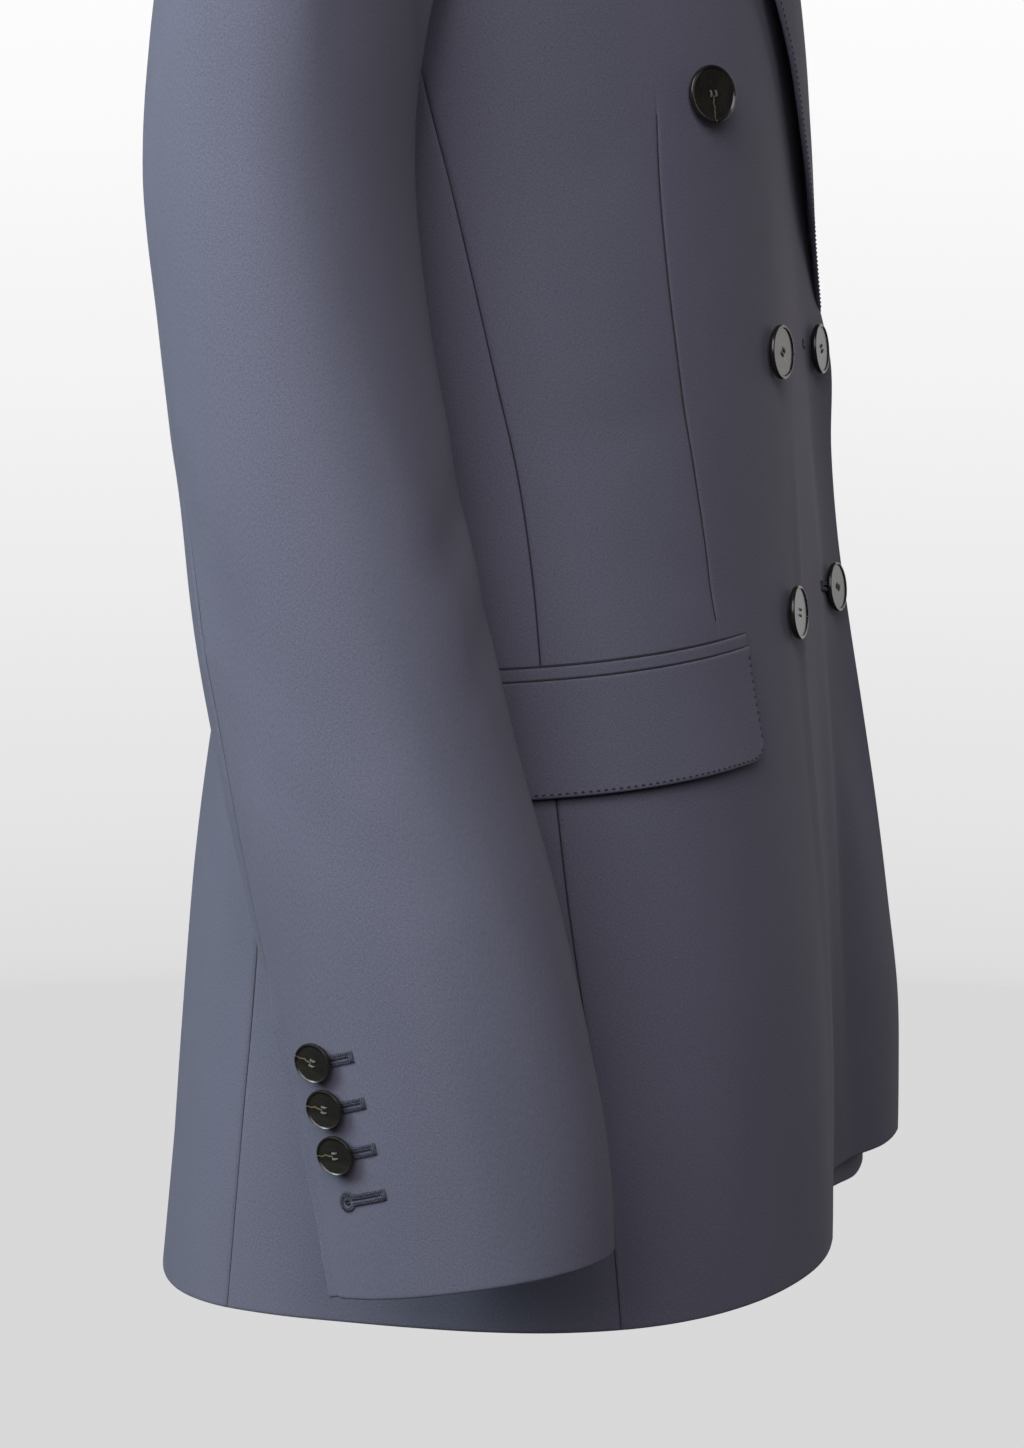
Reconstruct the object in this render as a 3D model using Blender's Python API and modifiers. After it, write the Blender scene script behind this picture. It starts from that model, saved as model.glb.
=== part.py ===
"""Double-breasted blazer, hollow and worn, in metres with +Z up.

The origin is at the neck, level with the inner end of the shoulder seams.
The front faces -Y and the wearer's right side is at -X.  The right front
closes over the left one.  Every panel is a cloth wall between an outer and
an inner face, both read from the same body and sleeve forms.
"""
import math

import bmesh
import bpy
from mathutils import Matrix, Vector

# ---------------------------------------------------------------- sizes
CLOTH = 0.0020              # wall of one panel
SEAM_GAP = 0.0003           # clearance between two sewn pieces
LAYER_GAP = 0.0010          # clearance between layers that lie on each other
SHARP_ANGLE = 50            # edges bent more than this are shaded as sharp

CHEST_Z = -0.160            # where the upright panels start to turn over the shoulder
ARMHOLE_Z = -0.235          # where the side seams run into the armhole
ARMPIT_DROP = 0.012         # the armhole is this much deeper under the arm
HEM_Z = -0.7455
HEM_SHAPE_Z = -0.620        # below here the hem's rise and drop come in
FRONT_HEM_RISE = 0.0145
BACK_HEM_DROP = 0.005
NECK_HALF = 0.075           # half the neck opening at the shoulder seams
SHOULDER_SLOPE = 0.366
SHOULDER_SPREAD = 0.12      # the shoulder is this share wider than the chest
SHOULDER_ROUND = 0.80
BACK_NECK_DROP = 0.025

FRONT_EDGE_X = 0.082        # free edge of the overlap, from the centre front
BREAK_Z = -0.350            # where the lapel starts to turn
GORGE_Z = -0.045            # where the collar meets the lapel on the roll line

BUST_RISE = 0.005           # the dart's cup: how full, where, and how wide and high
BUST_X = 0.090
BUST_Z = -0.265
BUST_WIDTH = 0.050
BUST_HEIGHT = 0.070
FRONT_DIP_WIDTH = 0.045     # half width of the hollow and of the leaning part
LEAN_WIDTH = 0.100
RISE_START_X = -0.055       # the front hem starts to rise here
RISE_WIDTH = 0.065
UNDER_FRONT_RISE = 0.4      # the under front's share of that rise
BACK_DROP_SPREAD = 60.0     # degrees over which the back hem comes down

CROSSING_Z = -0.115         # above here the two fronts lie side by side
CROSSING_HEIGHT = 0.045
COVER_START = 0.018         # past the roll line by this much the over front ends
COVER_WIDTH = 0.050
FOLD_RUN_IN = 0.080         # the under front makes room this far below the break
FOLD_RUN_HEIGHT = 0.060
LAYER_EASE = 1.3            # layers of the closing, in layer gaps
LAPEL_EASE = 1.4
BUTTON_X = 0.0595           # the two lower pairs of buttons, from the centre front
TOP_BUTTON_X = 0.110
DART_DEPTH = 0.0007

BUTTON_R = 0.01125
BUTTON_H = 0.0030
CUFF_BUTTON_R = 0.0075
CUFF_BUTTON_H = 0.0025
SHANK_H = 0.0013
SHANK_SHARE = 0.22
# Section of a button with its raised rim, as shares of its radius and height.
BUTTON_SECTION = ((0.0, 0.72), (0.66, 0.72), (0.76, 0.96), (0.88, 1.0), (0.98, 0.78),
                  (1.0, 0.45), (0.90, 0.0))
COAT_BUTTON_STEPS = 16
CUFF_BUTTON_STEPS = 12
BUTTON_MERGE = 0.00001

# One row for each height of the body: half width, depth in front of the
# shoulder line, depth behind it, and how square the two halves are.
BODY_COLUMNS = ("z", "half_width", "front", "back", "front_square", "back_square")
BODY_SECTIONS = (
    (-0.750, 0.1980, 0.1740, 0.1220, 2.8, 2.9),
    (-0.700, 0.1955, 0.1725, 0.1175, 2.8, 2.8),
    (-0.640, 0.1920, 0.1690, 0.1120, 2.9, 2.7),
    (-0.575, 0.1890, 0.1620, 0.1060, 3.0, 2.6),
    (-0.520, 0.1865, 0.1550, 0.0990, 3.1, 2.5),
    (-0.470, 0.1840, 0.1490, 0.0920, 3.1, 2.4),
    (-0.410, 0.1810, 0.1435, 0.0870, 2.9, 2.4),
    (-0.360, 0.1800, 0.1390, 0.0860, 2.7, 2.4),
    (-0.310, 0.1810, 0.1365, 0.0890, 2.5, 2.4),
    (-0.260, 0.1820, 0.1345, 0.0950, 2.4, 2.4),
    (-0.210, 0.1830, 0.1310, 0.1000, 2.3, 2.4),
    (-0.160, 0.1830, 0.1250, 0.1020, 2.3, 2.4),
)

# Seams of the body: distance in front of or behind the shoulder line, and
# the front dart's distance from the centre.
SEAM_COLUMNS = ("z", "front_seam", "back_seam", "dart_x")
SEAM_LINES = (
    (-0.750, 0.1045, 0.0575, 0.1300),
    (-0.660, 0.0955, 0.0500, 0.1300),
    (-0.597, 0.0850, 0.0445, 0.1300),
    (-0.537, 0.0775, 0.0420, 0.1300),
    (-0.479, 0.0700, 0.0410, 0.1300),
    (-0.427, 0.0640, 0.0420, 0.1310),
    (-0.355, 0.0475, 0.0450, 0.1320),
    (-0.310, 0.0373, 0.0475, 0.1330),
    (-0.264, 0.0257, 0.0495, 0.1330),
    (-0.235, 0.0200, 0.0500, 0.1330),
)

# How the free edge of the right front stands out, the hollow between the two
# soft ridges of the front, and how far the front leans in at the wearer's left.
EDGE_COLUMNS = ("z", "stand_out", "start_x", "hollow", "lean")
EDGE_LINES = (
    (-0.750, 0.0130, 0.010, 0.0140, 0.0000),
    (-0.670, 0.0145, 0.018, 0.0110, 0.0000),
    (-0.620, 0.0125, 0.026, 0.0085, 0.0000),
    (-0.560, 0.0105, 0.044, 0.0050, 0.0000),
    (-0.500, 0.0080, 0.066, 0.0020, 0.0005),
    (-0.450, 0.0065, 0.068, 0.0000, 0.0012),
    (-0.400, 0.0080, 0.068, 0.0000, 0.0022),
    (-0.355, 0.0080, 0.068, 0.0000, 0.0028),
    (-0.330, 0.0000, 0.068, 0.0000, 0.0028),
    (-0.260, 0.0000, 0.068, 0.0000, 0.0010),
    (-0.180, 0.0000, 0.068, 0.0000, 0.0000),
)

# Armhole above the side seams: the level, then the half width to the edge.
# A level of 0 or less is metres below CHEST_Z, and one above 0 is the share
# of the turn over the shoulder.
ARMHOLE_COLUMNS = ("level", "front_x", "back_x")
ARMHOLE_LINES = (
    (-0.050, 0.1775, 0.1670),
    (-0.025, 0.1735, 0.1650),
    (0.000, 0.1710, 0.1645),
    (1 / 6, 0.1700, 0.1650),
    (2 / 6, 0.1710, 0.1670),
    (3 / 6, 0.1740, 0.1710),
    (4 / 6, 0.1815, 0.1795),
    (5 / 6, 0.1910, 0.1905),
    (1.000, 0.1980, 0.1980),
)

# Sleeve sections below the cap, for the right arm: centre, half the width
# from front to back, half the width across, and how far the front is raised.
SLEEVE_COLUMNS = ("z", "x", "y", "half_y", "half_x", "tilt")
SLEEVE_SECTIONS = (
    (-0.700, -0.2530, -0.0630, 0.0535, 0.0290, 0.200),
    (-0.665, -0.2540, -0.0594, 0.0551, 0.0315, 0.195),
    (-0.620, -0.2545, -0.0510, 0.0555, 0.0350, 0.180),
    (-0.565, -0.2535, -0.0376, 0.0559, 0.0390, 0.160),
    (-0.510, -0.2515, -0.0235, 0.0543, 0.0425, 0.130),
    (-0.460, -0.2490, -0.0126, 0.0531, 0.0455, 0.100),
    (-0.410, -0.2460, -0.0036, 0.0504, 0.0485, 0.070),
    (-0.355, -0.2430, 0.0054, 0.0480, 0.0510, 0.040),
    (-0.300, -0.2405, 0.0113, 0.0477, 0.0530, 0.000),
)
SLEEVE_COUNT = 24           # lines along the sleeve, 15 degrees apart
HIND_SEAM_LINE = 11         # line 0 is the front of the arm, line 6 the outside
FORE_SEAM_LINE = 22
CAP_STEPS = (0.0, 0.08, 0.19, 0.32, 0.47, 0.64, 0.82)
CAP_STAND = 0.90            # how steeply the cap leaves the body beside the armhole
CAP_TOP_EASE = 0.60         # and how much less so on top of the shoulder
CAP_ROUND = 0.35            # fullness of the curve from the armhole to the arm
FOLD_START = 75.0           # degrees from the armpit where the turned-back part starts
FOLD_SPREAD = 45.0
SLEEVE_SQUARE = 0.92        # exponent of the sleeve's sections, 1 is an ellipse
SLEEVE_GAP = SEAM_GAP * 1.6

# Pairs of coat buttons: their height and their distance from the centre.
BUTTON_ROWS = (
    (-0.2645, TOP_BUTTON_X),
    (-0.3650, BUTTON_X),
    (-0.4725, BUTTON_X),
)
CUFF_BUTTON_ANGLE = 128.0
CUFF_BUTTON_Z = (-0.6110, -0.6280, -0.6450)

POCKET_FRONT_X = 0.112
POCKET_WIDTH = 0.145
POCKET_FRONT_Z = -0.4755
POCKET_DROP = 0.011         # the pocket's rear end is this much lower
JET_H = 0.0057
FLAP_H = 0.0450
FLAP_CORNER_R = 0.011
FLAP_STAND_OFF = 0.0045     # clearance of the flap's lower edge from the front
FLAP_ROWS = 4
POCKET_END_SHARES = (0.0, 0.02, 0.05, 0.09)
POCKET_CELLS = 8

# Lapel: height of the outer edge's points and their distance from the roll
# line, measured level.  The last row is the gorge and the peak above it.
LAPEL_COLUMNS = ("roll_z", "outer_z", "width", "stand_off")
LAPEL_LINES = (
    (-0.348, -0.348, 0.003, 0.0010),
    (-0.325, -0.325, 0.025, 0.0030),
    (-0.300, -0.303, 0.043, 0.0045),
    (-0.270, -0.275, 0.058, 0.0050),
    (-0.235, -0.242, 0.070, 0.0050),
    (-0.200, -0.208, 0.080, 0.0045),
    (-0.170, -0.178, 0.088, 0.0045),
    (-0.146, -0.154, 0.094, 0.0045),
    (-0.124, -0.133, 0.098, 0.0045),
    (-0.103, -0.114, 0.102, 0.0045),
    (-0.083, -0.097, 0.104, 0.0040),
    (-0.063, -0.081, 0.104, 0.0040),
    (-0.045, -0.066, 0.100, 0.0035),
)
GORGE_SHARE = 0.58                # the gorge's part of the lapel's top edge
LAPEL_SHARES = (0.0, 0.18, 0.38, GORGE_SHARE, 0.80, 1.0)
ROLL_SOFTNESS = 1.3               # how gradually the lapel and the leaf leave the fold
GORGE_END = (-0.094, -0.064)      # x and z where the notch opens
COLLAR_TIP = (-0.110, -0.046)
COLLAR_EDGE_X = 0.128             # outer edge of the collar on the shoulder seam
COLLAR_BACK_Z = -0.043            # and at the centre back
STAND_BACK_H = 0.030
STAND_SIDE_H = 0.016
STAND_LEAN = 0.006                # how far the stand's top leans in to the neck
STAND_GAP = 0.0012                # and its clearance above the back panels
STAND_END_ANGLE = 6.0             # it stops short of the shoulder seams by this turn
NECK_DIP_POWER = 1.6
COLLAR_CELLS = 16
COLLAR_SHARES = (0.0, 0.12, 0.34, 0.56, 0.78, 1.0)
LEAF_LEAN = 0.004                 # the leaf's fold lies this much inside the neckline


# ---------------------------------------------------------------- tables
def column(table, names, key, wanted, by):
    """Smooth value of one named column at the place `wanted` of another."""
    place = names.index(by)
    value = names.index(key)
    rows = sorted(table)
    spots = [row[place] for row in rows]
    values = [row[value] for row in rows]
    if wanted <= spots[0]:
        return values[0]
    if wanted >= spots[-1]:
        return values[-1]
    last = len(rows) - 1
    i = max(k for k in range(last) if spots[k] <= wanted)
    span = spots[i + 1] - spots[i]

    def slope(k):
        before = max(k - 1, 0)
        after = min(k + 1, last)
        return (values[after] - values[before]) / (spots[after] - spots[before])

    t = (wanted - spots[i]) / span
    rise = t * t * (3 - 2 * t)
    return (values[i] + (values[i + 1] - values[i]) * rise
            + span * (slope(i) * t * (1 - t) ** 2 - slope(i + 1) * t * t * (1 - t)))


def body_size(key, z):
    return column(BODY_SECTIONS, BODY_COLUMNS, key, z, "z")


def edge_size(key, z):
    return column(EDGE_LINES, EDGE_COLUMNS, key, z, "z")


def ease(value):
    value = min(max(value, 0.0), 1.0)
    return value * value * (3 - 2 * value)


def power(value, exponent):
    return math.copysign(abs(value) ** exponent, value)


# ---------------------------------------------------------------- body form
def shoulder_z(x):
    return -SHOULDER_SLOPE * max(abs(x) - NECK_HALF, 0.0)


def level_z(level):
    return CHEST_Z + min(level, 0.0)


def body_point(angle, level, lift=0.0, over=False):
    """A point of the body form.

    angle runs from 0 at the centre front to -180 or 180 degrees at the
    centre back, negative on the wearer's right.  lift moves the point out.
    over adds the stand-out of the right front's free edge.
    """
    z = level_z(level)
    turn = max(level, 0.0) * math.pi / 2
    in_front = abs(angle) <= 90
    sideways = lift * max(math.cos(turn), 0.0)
    depth = body_size("front" if in_front else "back", z) + lift
    square = body_size("front_square" if in_front else "back_square", z)
    half_width = body_size("half_width", z) + sideways
    radians = math.radians(angle)
    x = half_width * power(math.sin(radians), 2 / square)
    y = -depth * power(math.cos(radians), 2 / square)
    if in_front:
        upright = math.cos(radians) ** 2
        cup = math.exp(-((abs(x) - BUST_X) / BUST_WIDTH) ** 2
                       - ((z - BUST_Z) / BUST_HEIGHT) ** 2)
        y -= BUST_RISE * cup * upright
        y += edge_size("hollow", z) * math.exp(-(x / FRONT_DIP_WIDTH) ** 2)
        left_x = x if over else -x
        y += edge_size("lean", z) * left_x / BUTTON_X * math.exp(-(x / LEAN_WIDTH) ** 4)
        if over:
            start = edge_size("start_x", z)
            y -= edge_size("stand_out", z) * ease((x - start) / (FRONT_EDGE_X - start))
    x *= 1 + SHOULDER_SPREAD * math.sin(turn) ** 2
    y *= max(math.cos(turn), 0.0) ** SHOULDER_ROUND
    z += (shoulder_z(x) + lift - z) * math.sin(turn)
    near_hem = ease((HEM_SHAPE_Z - z) / (HEM_SHAPE_Z - HEM_Z))
    if in_front:
        share = ease((x - RISE_START_X) / RISE_WIDTH) * (1.0 if over else UNDER_FRONT_RISE)
        z += near_hem * FRONT_HEM_RISE * share
    else:
        z -= near_hem * BACK_HEM_DROP * ease((abs(angle) - 90) / BACK_DROP_SPREAD)
    return Vector((x, y, z))


def angle_at_x(x, level, back=False):
    """The angle at which the body form has this x."""
    z = level_z(level)
    turn = max(level, 0.0) * math.pi / 2
    square = body_size("back_square" if back else "front_square", z)
    share = abs(x) / (1 + SHOULDER_SPREAD * math.sin(turn) ** 2) / body_size("half_width", z)
    angle = math.degrees(math.asin(min(share, 1.0) ** (square / 2)))
    if back:
        angle = 180 - angle
    return math.copysign(angle, x)


def seam_angle(key, level):
    """The angle of a side seam on the wearer's left, from its depth."""
    z = level_z(level)
    back = key == "back_seam"
    depth = column(SEAM_LINES, SEAM_COLUMNS, key, z, "z")
    share = depth / body_size("back" if back else "front", z)
    square = body_size("back_square" if back else "front_square", z)
    angle = math.degrees(math.acos(share ** (square / 2)))
    return 180 - angle if back else angle


def level_at(x, z):
    """The level of the body form that has this x and z."""
    if z <= CHEST_Z:
        return z - CHEST_Z
    rise = (z - CHEST_Z) / (shoulder_z(x) - CHEST_Z)
    return math.asin(min(rise, 1.0)) / (math.pi / 2)


def chest_point(x, z, lift, over=False, back=False):
    level = level_at(x, z)
    return body_point(angle_at_x(x, level, back), level, lift, over)


def outward(point_at, first, second, step_first, step_second):
    """The outward direction of a form at one of its points."""
    here = point_at(first, second)
    normal = (point_at(first + step_first, second) - here).cross(
        point_at(first, second + step_second) - here)
    return normal.normalized()


# ---------------------------------------------------------------- rows
LOW_LEVELS = [z - CHEST_Z for z in
              (HEM_Z, -0.715, -0.670, -0.620, -0.575, -0.530, -0.490,
               -0.450, -0.410, -0.370, -0.335, -0.300, -0.268, ARMHOLE_Z)]
HIGH_LEVELS = [row[0] for row in ARMHOLE_LINES]
FRONT_SHARES = (0.0, 0.09, 0.18, 0.27, 0.36, 0.45, 0.54, 0.63, 0.71, 0.79, 0.86, 0.92, 0.96, 1.0)
SIDE_CELLS = 6
SIDE_SHARES = [i / SIDE_CELLS for i in range(SIDE_CELLS + 1)]
BACK_SHARES = (0.0, 0.126, 0.253, NECK_HALF / ARMHOLE_LINES[-1][2], 0.503, 0.627, 0.752, 0.876, 1.0)


def roll_x(z):
    """The roll line of the right lapel, from the break to the neck."""
    share = min(max((z - BREAK_Z) / -BREAK_Z, 0.0), 1.0)
    return FRONT_EDGE_X + (-NECK_HALF - FRONT_EDGE_X) * share


def armhole_x(level, key):
    return column(ARMHOLE_LINES, ARMHOLE_COLUMNS, key, level, "level")


def front_border(level):
    """Angles of the right front's side border and free edge at a level."""
    if level <= LOW_LEVELS[-1]:
        side = -seam_angle("front_seam", level)
    else:
        side = angle_at_x(-armhole_x(level, "front_x"), level)
    z = level_z(level) * (1 - math.sin(max(level, 0.0) * math.pi / 2))
    free = angle_at_x(roll_x(z), level)
    return side, free


def tucked(x, z):
    """1 where the right front and its lapel's fold cover this place, else 0."""
    below_crossing = ease((CROSSING_Z - z) / CROSSING_HEIGHT)
    return (1 - ease((x - roll_x(z) - COVER_START) / COVER_WIDTH)) * below_crossing


def front_lift(x, z, under):
    """How far the under front lies inside the over front."""
    if not under:
        return 0.0
    # Above the break it lies under both the front and the folded lapel.
    above_break = ease((z - BREAK_Z + FOLD_RUN_IN) / FOLD_RUN_HEIGHT)
    return -tucked(x, z) * (CLOTH + LAYER_GAP * LAYER_EASE) * (1 + above_break)


def split(point_at, start, end, shares):
    """Angles that split the line from start to end at these shares of its length."""
    fine = 48
    angles = [start + (end - start) * i / fine for i in range(fine + 1)]
    points = [point_at(angle) for angle in angles]
    lengths = [0.0]
    for before, after in zip(points, points[1:]):
        lengths.append(lengths[-1] + (after - before).length)
    result = []
    for wanted in shares:
        target = lengths[-1] * wanted
        i = max(k for k in range(fine) if lengths[k] <= target)
        share = (target - lengths[i]) / max(lengths[i + 1] - lengths[i], 1e-9)
        result.append(angles[i] + (angles[i + 1] - angles[i]) * share)
    return result


# ---------------------------------------------------------------- cloth walls
def trimmed(grid, amount):
    """Pull the four borders of a grid of points in by this amount."""
    rows = [[point.copy() for point in row] for row in grid]

    def toward(point, target):
        return point + (target - point).normalized() * amount

    for row in rows:
        row[0] = toward(row[0], row[1])
        row[-1] = toward(row[-1], row[-2])
    for i in range(len(rows[0])):
        rows[0][i] = toward(rows[0][i], rows[1][i])
        rows[-1][i] = toward(rows[-1][i], rows[-2][i])
    return rows


def cloth(name, outer, inner, material, collection, mirror=False, gap=SEAM_GAP):
    """A closed wall of cloth between an outer and an inner grid of points."""
    outer = trimmed(outer, gap / 2)
    inner = trimmed(inner, gap / 2)
    rows = len(outer)
    cells = len(outer[0])
    mesh_data = bmesh.new()
    flip = Matrix.Scale(-1, 4, Vector((1, 0, 0))) if mirror else Matrix.Identity(4)

    def add(grid):
        return [[mesh_data.verts.new(flip @ point) for point in row] for row in grid]

    def quad(a, b, c, d):
        mesh_data.faces.new((a, b, c))
        mesh_data.faces.new((a, c, d))

    out = add(outer)
    inn = add(inner)
    for r in range(rows - 1):
        for c in range(cells - 1):
            quad(out[r][c], out[r][c + 1], out[r + 1][c + 1], out[r + 1][c])
            quad(inn[r][c], inn[r][c + 1], inn[r + 1][c + 1], inn[r + 1][c])
    around = ([(0, c) for c in range(cells)]
              + [(r, cells - 1) for r in range(1, rows)]
              + [(rows - 1, c) for c in range(cells - 2, -1, -1)]
              + [(r, 0) for r in range(rows - 2, 0, -1)])
    for (r, c), (r2, c2) in zip(around, around[1:] + around[:1]):
        quad(out[r][c], out[r2][c2], inn[r2][c2], inn[r][c])
    bmesh.ops.recalc_face_normals(mesh_data, faces=mesh_data.faces)
    mesh = bpy.data.meshes.new(name)
    mesh_data.to_mesh(mesh)
    mesh_data.free()
    mesh.shade_smooth()
    mesh.set_sharp_from_angle(angle=math.radians(SHARP_ANGLE))
    mesh.materials.append(material)
    piece = bpy.data.objects.new(name, mesh)
    collection.objects.link(piece)
    return piece


def both_faces(point_at, rows, outer_lift=0.0):
    """Outer and inner grids of a wall: rows hold the places of its points."""
    outer = [[point_at(*place, outer_lift) for place in row] for row in rows]
    inner = [[point_at(*place, outer_lift - CLOTH) for place in row] for row in rows]
    return outer, inner


# ---------------------------------------------------------------- body panels
def front_panel(name, under, material, collection):
    def point(angle, level, extra):
        # The under front is worked out as a right front and mirrored.
        here = body_point(angle, level)
        lift = front_lift(-here.x, here.z, under) + extra
        return body_point(angle, level, lift, over=not under)

    outer = []
    inner = []
    for level in LOW_LEVELS + HIGH_LEVELS:
        side, free = front_border(level)
        angles = split(lambda a: body_point(a, level), side, free, FRONT_SHARES)
        if level_z(level) < BUST_Z and level_z(level) > POCKET_FRONT_Z:
            z = level_z(level)
            dart = angle_at_x(-column(SEAM_LINES, SEAM_COLUMNS, "dart_x", z, "z"), level)
            nearest = min(range(1, len(angles) - 1), key=lambda i: abs(angles[i] - dart))
            angles[nearest] = dart
        else:
            nearest = -1
        outer.append([point(a, level, -DART_DEPTH if i == nearest else 0.0)
                      for i, a in enumerate(angles)])
        inner.append([point(a, level, -CLOTH) for a in angles])
    return cloth(name, outer, inner, material, collection, mirror=under)


def side_panel(name, material, collection, mirror):
    rows = []
    hem = LOW_LEVELS[0]
    top = LOW_LEVELS[-1]
    for level in LOW_LEVELS:
        start = -seam_angle("front_seam", level)
        end = -seam_angle("back_seam", level)
        angles = split(lambda a: body_point(a, level), start, end, SIDE_SHARES)
        row = []
        for i, angle in enumerate(angles):
            drop = ARMPIT_DROP * math.sin(math.pi * i / SIDE_CELLS) ** 2
            row.append((angle, level - drop * (level - hem) / (top - hem)))
        rows.append(row)
    outer, inner = both_faces(body_point, rows)
    return cloth(name, outer, inner, material, collection, mirror)


def back_neck_turn(x):
    """The share of the shoulder turn at which the back neckline lies."""
    inside = 1 - min(abs(x) / NECK_HALF, 1.0) ** 2
    return math.asin(1 - BACK_NECK_DROP * inside ** 0.8 / -CHEST_Z) / (math.pi / 2)


def back_panel(name, material, collection, mirror):
    rows = []
    for level in LOW_LEVELS:
        end = -seam_angle("back_seam", level)
        angles = split(lambda a: body_point(a, level), -180.0, end, BACK_SHARES)
        rows.append([(angle, level) for angle in angles])
    top_x = ARMHOLE_LINES[-1][2]
    for level in HIGH_LEVELS:
        row = []
        for share in BACK_SHARES:
            top = back_neck_turn(share * top_x)
            here = level * top if level > 0 else level
            x = share * armhole_x(level, "back_x")
            row.append((angle_at_x(-x, here, back=True) if share else -180.0, here))
        rows.append(row)
    outer, inner = both_faces(body_point, rows)
    return cloth(name, outer, inner, material, collection, mirror)


# ---------------------------------------------------------------- sleeves
def armhole_loop():
    """Places (angle, level) of the right armhole, one for each sleeve line."""
    front = [(front_border(level)[0], level) for level in HIGH_LEVELS]
    back = [(angle_at_x(-armhole_x(level, "back_x"), level, back=True), level)
            for level in HIGH_LEVELS]
    start = -seam_angle("front_seam", LOW_LEVELS[-1])
    end = -seam_angle("back_seam", LOW_LEVELS[-1])
    bottom = split(lambda a: body_point(a, LOW_LEVELS[-1]), start, end, SIDE_SHARES)
    under_arm = []
    for i, angle in enumerate(bottom):
        drop = ARMPIT_DROP * math.sin(math.pi * i / SIDE_CELLS) ** 2
        under_arm.append((angle, LOW_LEVELS[-1] - drop))
    # Line 0 is three places above the front side seam.
    loop = front[2:] + back[-2::-1] + under_arm[::-1] + front[:2]
    return loop


def sleeve_size(key, z):
    return column(SLEEVE_SECTIONS, SLEEVE_COLUMNS, key, z, "z")


def sleeve_point(line, z, lift):
    """A point of the right sleeve below its cap; line 0 is the front."""
    turn = math.radians(line * 360 / SLEEVE_COUNT)
    across = (sleeve_size("half_x", z) + lift) * power(math.sin(turn), SLEEVE_SQUARE)
    along = (sleeve_size("half_y", z) + lift) * power(math.cos(turn), SLEEVE_SQUARE)
    return Vector((sleeve_size("x", z) - across, sleeve_size("y", z) - along,
                   z + sleeve_size("tilt", z) * along))


def cap_point(line, share, lift):
    """A point of the sleeve cap, between the armhole and the first section."""
    loop = armhole_loop()
    i = int(math.floor(line)) % SLEEVE_COUNT
    part = line - math.floor(line)
    # Round a place of the loop: the edge, straight in, and along the edge.

    def corner(k):
        here = body_point(*loop[k])
        inward = (body_point(*loop[k], -CLOTH) - here).normalized()
        along = body_point(*loop[(k + 1) % SLEEVE_COUNT]) - body_point(*loop[k - 1])
        across = along.cross(inward).normalized()
        # Under the arm the sleeve turns back and hangs outside the side panel.
        from_armpit = abs(k * 360 / SLEEVE_COUNT - 270)
        fold = math.pi * min(max((FOLD_START - from_armpit) / FOLD_SPREAD, 0.0), 1.0)
        inside = inward * math.cos(fold) + across * math.sin(fold)
        leave = across * math.cos(fold) - inward * math.sin(fold)
        # Elsewhere it stands off the body, fuller at the front and back than on top.
        top = math.sin(math.radians(k * 360 / SLEEVE_COUNT)) ** 2 if k < SLEEVE_COUNT / 2 else 0.0
        leave = (leave - inward * (CAP_STAND - CAP_TOP_EASE * top) * math.cos(fold / 2)).normalized()
        start = here - inward * SEAM_GAP * math.sin(fold / 2)
        start -= inside * lift
        end = sleeve_point(k, SLEEVE_SECTIONS[-1][0], lift)
        reach = (end - start).length
        first = start + leave * reach * CAP_ROUND
        last = end + Vector((0, 0, 1)) * reach * CAP_ROUND
        t = share
        return (start * (1 - t) ** 3 + first * 3 * t * (1 - t) ** 2
                + last * 3 * t * t * (1 - t) + end * t ** 3)

    if part < 1e-9:
        return corner(i)
    return corner(i).lerp(corner((i + 1) % SLEEVE_COUNT), part)


def sleeve_panel(name, first_line, last_line, material, collection, mirror):
    lines = range(first_line, last_line + 1)
    sections = [row[0] for row in reversed(SLEEVE_SECTIONS)]

    def grid(lift):
        rows = [[cap_point(line % SLEEVE_COUNT, share, lift) for line in lines]
                for share in CAP_STEPS]
        rows += [[sleeve_point(line, z, lift) for line in lines] for z in sections]
        return rows

    return cloth(name, grid(0.0), grid(-CLOTH), material, collection, mirror, SLEEVE_GAP)


# ---------------------------------------------------------------- lapels and collar
def lapel_rows():
    """Places (x, z, distance off the front) of the right lapel."""
    shares = LAPEL_SHARES
    rows = []
    last = len(LAPEL_LINES) - 1
    for i, values in enumerate(LAPEL_LINES):
        line = dict(zip(LAPEL_COLUMNS, values))
        start = (roll_x(line["roll_z"]), line["roll_z"])
        end = (roll_x(line["outer_z"]) - line["width"], line["outer_z"])
        row = []
        for share in shares:
            x = start[0] + (end[0] - start[0]) * share
            z = start[1] + (end[1] - start[1]) * share
            if i == last:
                # The gorge is straight to the notch, then the peak rises.
                knee = GORGE_SHARE
                if share <= knee:
                    x = start[0] + (GORGE_END[0] - start[0]) * share / knee
                    z = start[1] + (GORGE_END[1] - start[1]) * share / knee
                else:
                    part = (share - knee) / (1 - knee)
                    x = GORGE_END[0] + (end[0] - GORGE_END[0]) * part
                    z = GORGE_END[1] + (end[1] - GORGE_END[1]) * part
            row.append((x, z, line["stand_off"] * share ** ROLL_SOFTNESS))
        rows.append(row)
    return rows


def lapel(name, under, material, collection):
    def point(x, z, stand_off, lift):
        if under:
            # The covered end of the under lapel is pressed flat.
            stand_off *= 1 - tucked(-x, z)
        base = front_lift(-x, z, under) + LAYER_GAP * LAPEL_EASE
        return chest_point(x, z, base + stand_off + lift, over=not under)

    rows = lapel_rows()
    inner = [[point(*place, 0.0) for place in row] for row in rows]
    outer = [[point(*place, CLOTH) for place in row] for row in rows]
    return cloth(name, outer, inner, material, collection, mirror=under)


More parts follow.
